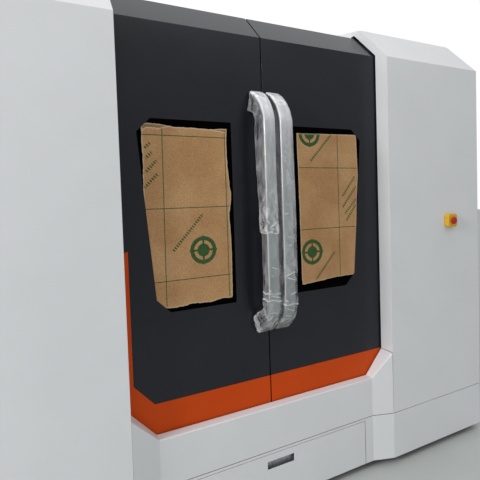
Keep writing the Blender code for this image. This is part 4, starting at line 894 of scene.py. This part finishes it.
def toothedRack(name, along, face, sign, s):
    # box whose toothed face steps in and out along it; face and sign are that face's axis and side
    low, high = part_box(name)
    length = high[along] - low[along]
    count = int(length / s["pitch"])
    levels, depths = [low[along]], [0.0]
    for tooth in range(count):
        at = low[along] + (length - count * s["pitch"]) / 2 + tooth * s["pitch"]
        levels += [at + s["pitch"] * share for share in s["tooth"]]
        depths += [0.0, s["depth"], s["depth"], 0.0]
    levels.append(high[along])
    depths.append(0.0)
    other = 3 - along - face
    near, far = (low[face], high[face]) if sign < 0 else (high[face], low[face])
    inner = near - sign * np.array(depths)
    grid = np.zeros((len(levels), 4, 3))
    grid[..., along] = np.array(levels)[:, None]
    grid[..., face] = np.stack([inner, inner, 0 * inner + far, 0 * inner + far], axis=1)
    grid[..., other] = [low[other], high[other], high[other], low[other]]
    stackPiece(name + "_toothed", [grid], nodes[name]["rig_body"], slots[name], name, sharpAngle=10)


def toothedPinion(name, axis, towards, s):
    # toothed wheel at the start of the box, then a hub and a shaft
    start, end = boxEnds(name, axis, towards)
    edge, back = towards * s["edge"], start + towards * s["wheel"]
    shapes = [([(0.97, start), (1, start + edge), (1, back - edge), (0.97, back)],
               gearLoop(s["teeth"], s["root"], s["tip"])),
              ([(s["hub"], back - edge), (s["hub"], back + 2 * edge)], circleLoop(48)),
              ([(s["shaft"], back), (s["shaft"], end)], circleLoop(48))]
    grids = [stackGrid(axis, boxCentre(name, axis), stations, loop) for stations, loop in shapes]
    stackPiece(name + "_toothed", grids, nodes[name]["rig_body"], slots[name], name)


toothedRack("gear_rack_left", 1, 0, 1, gearing)
toothedRack("gear_rack_right", 1, 0, -1, gearing)
toothedRack("beam_rack", 0, 2, 1, gearing)
toothedPinion("gantry_pinion_left", 2, 1, gearing)
toothedPinion("gantry_pinion_right", 2, 1, gearing)
toothedPinion("carriage_pinion", 1, -1, gearing)
print("drives toothed")

# screws along the rails, the plates and the casing
fastening = {
    # radius of the heads, by place
    "rail": 0.0035, "beam": 0.0030, "beamEnd": 0.005, "plate": 0.0035, "wall": 0.0055, "collar": 0.0045,
    "railEdge": 0.03, "railPitch": 0.08, "beamPitch": 0.06, "platePitch": 0.06, "plateEdge": 0.012,
    "endInsets": (0.012, 0.045), "carriageRows": (0.03, 0.052, 0.185, 0.365),
    "wallFace": 1.038, "wallEdge": 0.02, "wallTop": 2.33, "wallPitch": 0.30,
    "wallHeights": (0.35, 2.05, 0.34), "collarCircle": 0.112, "collarCount": 8,
}


def fastenMachine(s):
    edge, rim = s["railEdge"], s["plateEdge"]
    low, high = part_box("guide_rail_right")
    screwHeads("guide_rail_screws", [(side * (low.x + high.x) / 2, y, high.z) for side in (-1, 1)
                                     for y in evenly(low.y + edge, high.y - edge, s["railPitch"])],
               2, 1, s["rail"], "base")
    places = []
    for nodeName in ("beam_rail_lower", "beam_rail_upper"):
        low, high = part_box(nodeName)
        places += [(x, low.y, (low.z + high.z) / 2)
                   for x in evenly(low.x + edge, high.x - edge, s["beamPitch"])]
    screwHeads("beam_rail_screws", places, 1, -1, s["beam"], "gantry")
    for side, sign in (("left", -1), ("right", 1)):
        low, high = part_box("beam_end_" + side)
        outer = high.x if sign > 0 else low.x
        screwHeads("beam_end_screws_" + side, [(outer - sign * inset, y, high.z) for inset in s["endInsets"]
                                               for y in (low.y + 0.010, high.y - 0.012)],
                   2, 1, s["beamEnd"], "gantry")
    low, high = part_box("carriage_plate")
    liftLow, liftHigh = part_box("lift_plate")
    screwHeads("carriage_screws", [(x, low.y + 0.0001, low.z + up) for x in (low.x + rim, low.x + 0.105)
                                   for up in s["carriageRows"] if liftLow.x > x + 0.01],
               1, -1, s["plate"], "carriage")
    screwHeads("lift_plate_screws", [(x, liftLow.y, z) for x in (liftLow.x + rim, liftHigh.x - rim)
                                     for z in evenly(liftLow.z + rim, liftHigh.z - rim, s["platePitch"])],
               1, -1, s["plate"], "head")
    low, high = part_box("rear_wall")
    left, right = low.x + s["wallEdge"], high.x - s["wallEdge"]
    places = [(x, s["wallFace"], z) for x in evenly(left, right, s["wallPitch"])
              for z in (low.z + s["wallEdge"], s["wallTop"])]
    places += [(x, s["wallFace"], z) for x in (left, right) for z in evenly(*s["wallHeights"])]
    screwHeads("rear_screws", places, 1, 1, s["wall"], "base")
    x, y = boxCentre("exhaust_collar", 2)
    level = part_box("exhaust_collar")[0].z + 0.002
    turn = (np.arange(s["collarCount"]) + 0.5) * 2 * math.pi / s["collarCount"]
    screwHeads("collar_screws", [(x + s["collarCircle"] * math.cos(t), y + s["collarCircle"] * math.sin(t),
                                  level) for t in turn], 2, 1, s["collar"], "base")


fastenMachine(fastening)

# duct collar: flange, fillet, tube with a rolled bead, open inside; (radius, level) in millimetres
collarProfile = [(98, 0), (122, 0), (122, 2), (104, 2), (101.2, 3.2), (100, 6), (100, 58), (103, 61),
                 (103, 65), (100, 68), (100, 80), (98, 80), (98, 0)]
turnedPiece("duct_collar", "exhaust_collar", 2, [(circleLoop(96), collarProfile)], caps=False)

# levelling feet: domed pad, threaded stud, hexagon nut
foot = {
    "pad": [(43, 0), (45, 2), (45, 9), (43.5, 11.5), (22, 17.5), (19.2, 19.2), (12, 19.2)],
    "thread": [(12 - index % 2, 19.2 + 1.1 * index) for index in range(32)],
    "nut": [(19.5, 24), (20.5, 25.5), (20.5, 34.5), (19.5, 36)],
}
for nodeName in ("foot_front_left", "foot_front_right", "foot_rear_left", "foot_rear_right"):
    low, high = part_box(nodeName)
    stud = foot["thread"] + [(12, (high.z - low.z) / mm)]
    turnedPiece(nodeName + "_turned", nodeName, 2, [(circleLoop(64), foot["pad"]), (circleLoop(32), stud),
                                                    (circleLoop(6), foot["nut"])])

# stop button: stem and mushroom head, whose dome is r = R sin(a)^0.8, y = D - D cos(a)
button = {"radius": 20, "dome": 5.5, "stem": [(10.8, 10), (18.5, 9.8), (20, 8.5)]}
low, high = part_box("stop_button")
profile = [(button["stem"][0][0], (high.y - low.y) / mm)] + button["stem"]
profile += [(button["radius"] * math.sin(a) ** 0.8, button["dome"] * (1 - math.cos(a)))
            for a in np.linspace(math.pi / 2, 0.05, 14)]
turnedPiece("mushroom_button", "stop_button", 1, [(circleLoop(64), profile)])

# lift screw: ball-screw thread, r = root + height |cos(pi (level / lead - turn))|^0.5, turn from 0 to 1
thread = {"root": 0.0053, "height": 0.0007, "lead": 0.005, "step": 0.0005, "sides": 28}
low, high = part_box("lift_screw")
level = np.arange(low.z, high.z, thread["step"])[:, None]
turn = np.linspace(0, 1, thread["sides"], endpoint=False)
radius = thread["root"] + thread["height"] * np.abs(np.cos(math.pi * (level / thread["lead"] - turn))) ** 0.5
x, y = boxCentre("lift_screw", 2)
screwGrid = np.stack([x + radius * np.cos(2 * math.pi * turn), y + radius * np.sin(2 * math.pi * turn),
                      level + 0 * turn], axis=-1)
stackPiece("ball_screw", [screwGrid], nodes["lift_screw"]["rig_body"], slots["lift_screw"], "lift_screw",
           sharpAngle=180)

# cutting head: collimator tube with clamping rings, cone, lens block with screws; and the brass nozzle
cutter = {
    "tube": [(25.6, 160), (25.6, 176), (24.8, 177), (24.8, 180), (25.6, 181), (25.6, 212), (24, 214),
             (24, 218), (25.6, 220), (25.6, 262), (24.5, 265), (16, 274), (14.4, 276), (14.4, 298),
             (13.6, 300)],
    "cone": [(16.5, 0), (17.2, 2), (26.2, 28), (27.2, 31), (27.2, 40), (26.2, 41), (26.2, 44), (27.2, 45),
             (27.2, 62)],
    "block": [(31, 60), (32, 61.2), (32, 98), (31.2, 98.5), (31.2, 100), (32, 100.5), (32, 163.8),
              (31, 165)],
    "screws": (68, 92, 107, 158),
    "tip": [(1.2, 4), (1.4, 0), (4, 0), (4.5, 0.6), (13.6, 19.5), (14, 20.5)],
    "grip": [(16, 20), (17, 21), (17, 30), (16, 31)],
    "collet": [(15, 30), (15, 34), (16.8, 35)],
}
turnedPiece("cutting_head", "laser_head", 2,
            [(circleLoop(64), cutter["tube"]), (circleLoop(64), cutter["cone"]),
             (roundedLoop(1, 1, 0.10, 5), cutter["block"])], sharpAngle=30)
low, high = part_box("laser_head")
x = boxCentre("laser_head", 2)[0]
screwHeads("head_screws", [(x + across, low.y, low.z + up * mm) for across in (-0.026, 0.026)
                           for up in cutter["screws"]], 1, -1, 0.0022, "head")
low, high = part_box("nozzle")
collet = cutter["collet"] + [(cutter["collet"][-1][0], (high.z - low.z) / mm)]
turnedPiece("turned_nozzle", "nozzle", 2, [(circleLoop(48), cutter["tip"]), (circleLoop(6), cutter["grip"]),
                                           (circleLoop(48), collet)], sharpAngle=30)

# slat table: frame of rounded bars and upright slats with 25 mm saw teeth
table = {"slats": 18, "thick": 0.003, "bar": 0.06, "sideBar": 0.03, "frameHigh": 0.065, "tooth": 0.020,
         "pitch": 0.025, "corner": 0.003, "sideSet": 0.01, "slatEnd": 0.030, "slatFoot": 0.030}


def slatTable(s):
    low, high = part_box("slat_table")
    grids = []
    middle = low.z + s["frameHigh"] / 2
    for y in (low.y, high.y - s["bar"]):
        loop = roundedLoop(s["bar"] / 2, s["frameHigh"] / 2, s["corner"], 4)
        grids.append(stackGrid(0, (y + s["bar"] / 2, middle), [(1, low.x), (1, high.x)], loop))
    for x in (low.x + s["sideBar"] / 2, high.x - s["sideBar"] / 2):
        loop = roundedLoop(s["sideBar"] / 2, s["frameHigh"] / 2 - 0.002, s["corner"], 4)
        ends = [(1, low.y + s["sideSet"]), (1, high.y - s["sideSet"])]
        grids.append(stackGrid(1, (x, middle), ends, loop))
    start, end = low.y + s["slatEnd"], high.y - s["slatEnd"]
    count = int((end - start) / s["pitch"]) * 2 + 1
    top = high.z - s["tooth"] * (np.arange(count) % 2 == 0)
    for x in np.linspace(low.x + s["bar"], high.x - s["bar"], s["slats"]):
        grid = np.zeros((count, 4, 3))
        grid[..., 1] = (start + (end - start) * np.linspace(0, 1, count))[:, None]
        grid[..., 0] = x + s["thick"] / 2 * np.array([-1, 1, 1, -1])
        grid[:, :2, 2] = low.z + s["frameHigh"] - s["slatFoot"]
        grid[:, 2:, 2] = top[:, None]
        grids.append(grid)
    stackPiece("saw_tooth_table", grids, "base", slots["slat_table"], "slat_table", sharpAngle=20)


slatTable(table)

# drive panel: plate, and modules with chamfered covers, cooling slots drawn as black strips that paint the
# shade inside them, and terminal screws
panel = {
    "plate": 0.004,
    "space": 0.02,
    "rows": ((0.02, 0.22, 3), (0.34, 0.26, 4), (0.72, 0.13, 6), (0.97, 0.20, 2)),   # level, height, count
    "low": 0.30,
    "deep": 0.11,
    "corner": 0.004,
    "slots": 6,
    "terminalPitch": 0.016,
}


def drivePanel(s):
    low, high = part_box("drive_panel")
    back = low.y + s["plate"]
    front = back + s["deep"]
    plate = roundedLoop((high.x - low.x) / 2, (high.z - low.z) / 2, 0.006, 6)
    stackPiece("drive_plate", [stackGrid(1, boxCentre("drive_panel", 1), [(1, low.y), (1, back)], plate)],
               "base", "zinc_sheet", "drive_panel")
    covers, slotShade, terminals = [], [], []
    for start, height, count in s["rows"]:
        pitch = (high.x - low.x) / count
        wide = pitch - s["space"]
        loop = roundedLoop(wide / 2, height / 2, s["corner"], 4)
        slot = roundedLoop(wide * 0.30, height * 0.008, 0.0006, 3)
        z = s["low"] + start + height / 2
        for x in low.x + pitch * (np.arange(count) + 0.5):
            covers.append(stackGrid(1, (x, z), [(1, back), (1, front - 0.022), (0.94, front - 0.020),
                                                (0.92, front)], loop))
            # each cooling slot is a thin black strip just proud of the cover: painted shade where the
            # opening would be
            slotShade += [stackGrid(1, (x, z + height * (0.40 - 0.035 * step)),
                                   [(1, front - 0.001), (1, front + 0.0002)], slot)
                         for step in range(s["slots"])]
            terminals += [(x + wide * 0.36 * share, front - 0.0003, z - height * 0.38)
                          for share in np.linspace(-1, 1, max(3, int(wide / s["terminalPitch"])))]
    stackPiece("drive_modules", covers, "base", "machine_paint", "drive_panel")
    stackPiece("drive_slot_shade", slotShade, "base", "black_paint")
    screwHeads("drive_terminals", terminals, 1, 1, 0.0028, "base", "brass")


drivePanel(panel)
print("details added")


# Masking papers on the window panes: four edges each, (x, z) in millimetres, from the lower or left end on
papers = {
    "left": {
        "top": [(-559, 1694), (-556.7, 1706), (-536.7, 1715.5), (-500, 1714.5), (-462, 1712.5),
                (-430, 1707), (-360, 1705), (-270, 1702), (-192.9, 1708.1)],
        "bottom": [(-548, 985), (-488.4, 970.7), (-420, 972), (-360, 974.5), (-290, 970), (-240, 979),
                   (-191, 977.6)],
        "inner": [(-191, 977.6), (-188.5, 1060), (-185.4, 1207.4), (-192.4, 1340.8), (-183, 1385),
                  (-179, 1429.6), (-187.5, 1465), (-193.7, 1535.1), (-195.5, 1640.7), (-192.9, 1708.1)],
        "outer": [(-548, 985), (-552, 1200), (-559, 1410), (-556.5, 1550), (-559, 1694)],
        "ragged": {"top": 0.0016, "bottom": 0.0022, "inner": 0.0014, "outer": 0.0010},
        # depth of the peeled upper ply, at shares of the width
        "plyAcross": [0.0, 0.22, 0.31, 0.40, 0.74, 0.86, 1.0],
        "plyDepth": [0.018, 0.017, 0.004, -0.003, -0.003, 0.006, 0.017],
        "fibre": 0.95,
        "bulge": 0.0005,
        "seed": 3,
    },
    "right": {
        "top": [(167.4, 1704.6), (300, 1707), (526.9, 1710.4)],
        "bottom": [(179, 987), (240, 989), (360, 1001), (440, 1004), (501, 1003)],
        "inner": [(179, 987), (176.8, 1020), (174, 1324.2), (167.4, 1704.6)],
        "outer": [(501, 1003), (508, 1120), (520.3, 1308.5), (524, 1400), (534, 1506.1), (526.9, 1710.4)],
        "ragged": {"top": 0.0005, "bottom": 0.0013, "inner": 0.0007, "outer": 0.0005},
        "plyAcross": [0.0, 1.0],
        "plyDepth": [-0.003, -0.003],
        "fibre": 0.75,
        "bulge": 0.0004,
        "seed": 8,
    },
    "columns": 150,
    "rows": 260,
}


def tornEdge(outline, count, roughness, seed):
    # an outline at even steps, shaken sideways by smooth random steps of three sizes
    outline = np.array(outline) * mm
    steps = np.concatenate([[0], np.cumsum(np.hypot(*np.diff(outline, axis=0).T))])
    even = np.linspace(0, steps[-1], count)
    edge = np.stack([np.interp(even, steps, outline[:, 0]), np.interp(even, steps, outline[:, 1])], axis=1)
    across = np.gradient(edge, axis=0)[:, ::-1] * [1, -1]
    across /= np.linalg.norm(across, axis=1)[:, None]
    draw = np.random.default_rng(seed)
    for size, share in ((0.05, 1.0), (0.014, 0.7), (0.005, 0.5)):
        knots = max(4, int(steps[-1] / size))
        wiggle = np.interp(even, np.linspace(0, steps[-1], knots), draw.uniform(-1, 1, knots))
        fade = np.clip(np.minimum(even, steps[-1] - even) / 0.01, 0, 1)
        edge = edge + across * (wiggle * fade * roughness * share)[:, None]
    return edge


def edgeAt(edge, share):
    return np.stack([np.interp(share, np.linspace(0, 1, len(edge)), edge[:, k]) for k in (0, 1)], axis=-1)


def maskingPaper(side, s, columns, rows):
    # four torn edges filled as a Coons patch, denser near its edges, a little proud of the pane
    name = "masking_paper_" + side
    low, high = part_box(name)
    edges = {key: tornEdge(s[key], 900, s["ragged"][key], s["seed"] + index)
             for index, key in enumerate(("top", "bottom", "inner", "outer"))}
    leftKey, rightKey = ("outer", "inner") if side == "left" else ("inner", "outer")
    shares = [0.4 * even + 0.6 * (0.5 - 0.5 * np.cos(math.pi * even))
              for even in (np.linspace(0, 1, columns), np.linspace(0, 1, rows))]
    top, bottom = edgeAt(edges["top"], shares[0])[None], edgeAt(edges["bottom"], shares[0])[None]
    left, right = edgeAt(edges[leftKey], shares[1])[:, None], edgeAt(edges[rightKey], shares[1])[:, None]
    across, up = shares[0][None, :, None], shares[1][:, None, None]
    corners = ((1 - across) * (1 - up) * bottom[:, :1] + across * (1 - up) * bottom[:, -1:]
               + (1 - across) * up * top[:, :1] + across * up * top[:, -1:])
    flat = (1 - up) * bottom + up * top + (1 - across) * left + across * right - corners
    x, z = flat[..., 0], flat[..., 1]
    fromEdge = np.minimum.reduce([x - left[..., 0], right[..., 0] - x, top[..., 1] - z, z - bottom[..., 1]])

    def noise(depth, step, longest, shortest, waves=9):
        return crumple(np.stack([x, 0 * x, depth], axis=-1), s["seed"] + step, longest, shortest, waves)[0]

    y = low.y - s["bulge"] * noise(z, 0, 0.5, 0.12, 5) * np.clip(1.2 - fromEdge / 0.2, 0.3, 1)
    piece = gridPiece("kraft_paper_" + side, [np.stack([x, y, z], axis=-1)])
    # peeled upper ply along the top, painted darker where the inner ply shows, partly its own colour and
    # partly painted shade under the lifted ply; pale fibres along every tear
    uneven = 0.0025 * (noise(0 * x, 40, 0.03, 0.004) - 0.5)
    depth = np.interp(shares[0], s["plyAcross"], s["plyDepth"]) + uneven
    fromTop = top[..., 1] - z
    tear = np.exp(-np.abs(fromTop - depth) / 0.0013) * (depth > 0)
    border = np.exp(-np.maximum(fromEdge, 0) / 0.0022) * s["fibre"]
    pointValues(piece, "ply", np.clip((depth - fromTop) / 0.0008, 0, 1))
    pointValues(piece, "fibre", np.clip(np.maximum(tear, border) * (0.5 + noise(z, 60, 0.02, 0.003)), 0, 1))
    wall = piece.modifiers.new("thickness", "SOLIDIFY")
    wall.thickness = high.y - low.y - 0.00005
    wall.offset = -1
    finishPiece(piece, "door_" + side, slots[name], name)


for side in ("left", "right"):
    maskingPaper(side, papers[side], papers["columns"], papers["rows"])
print("papers laid on the panes")
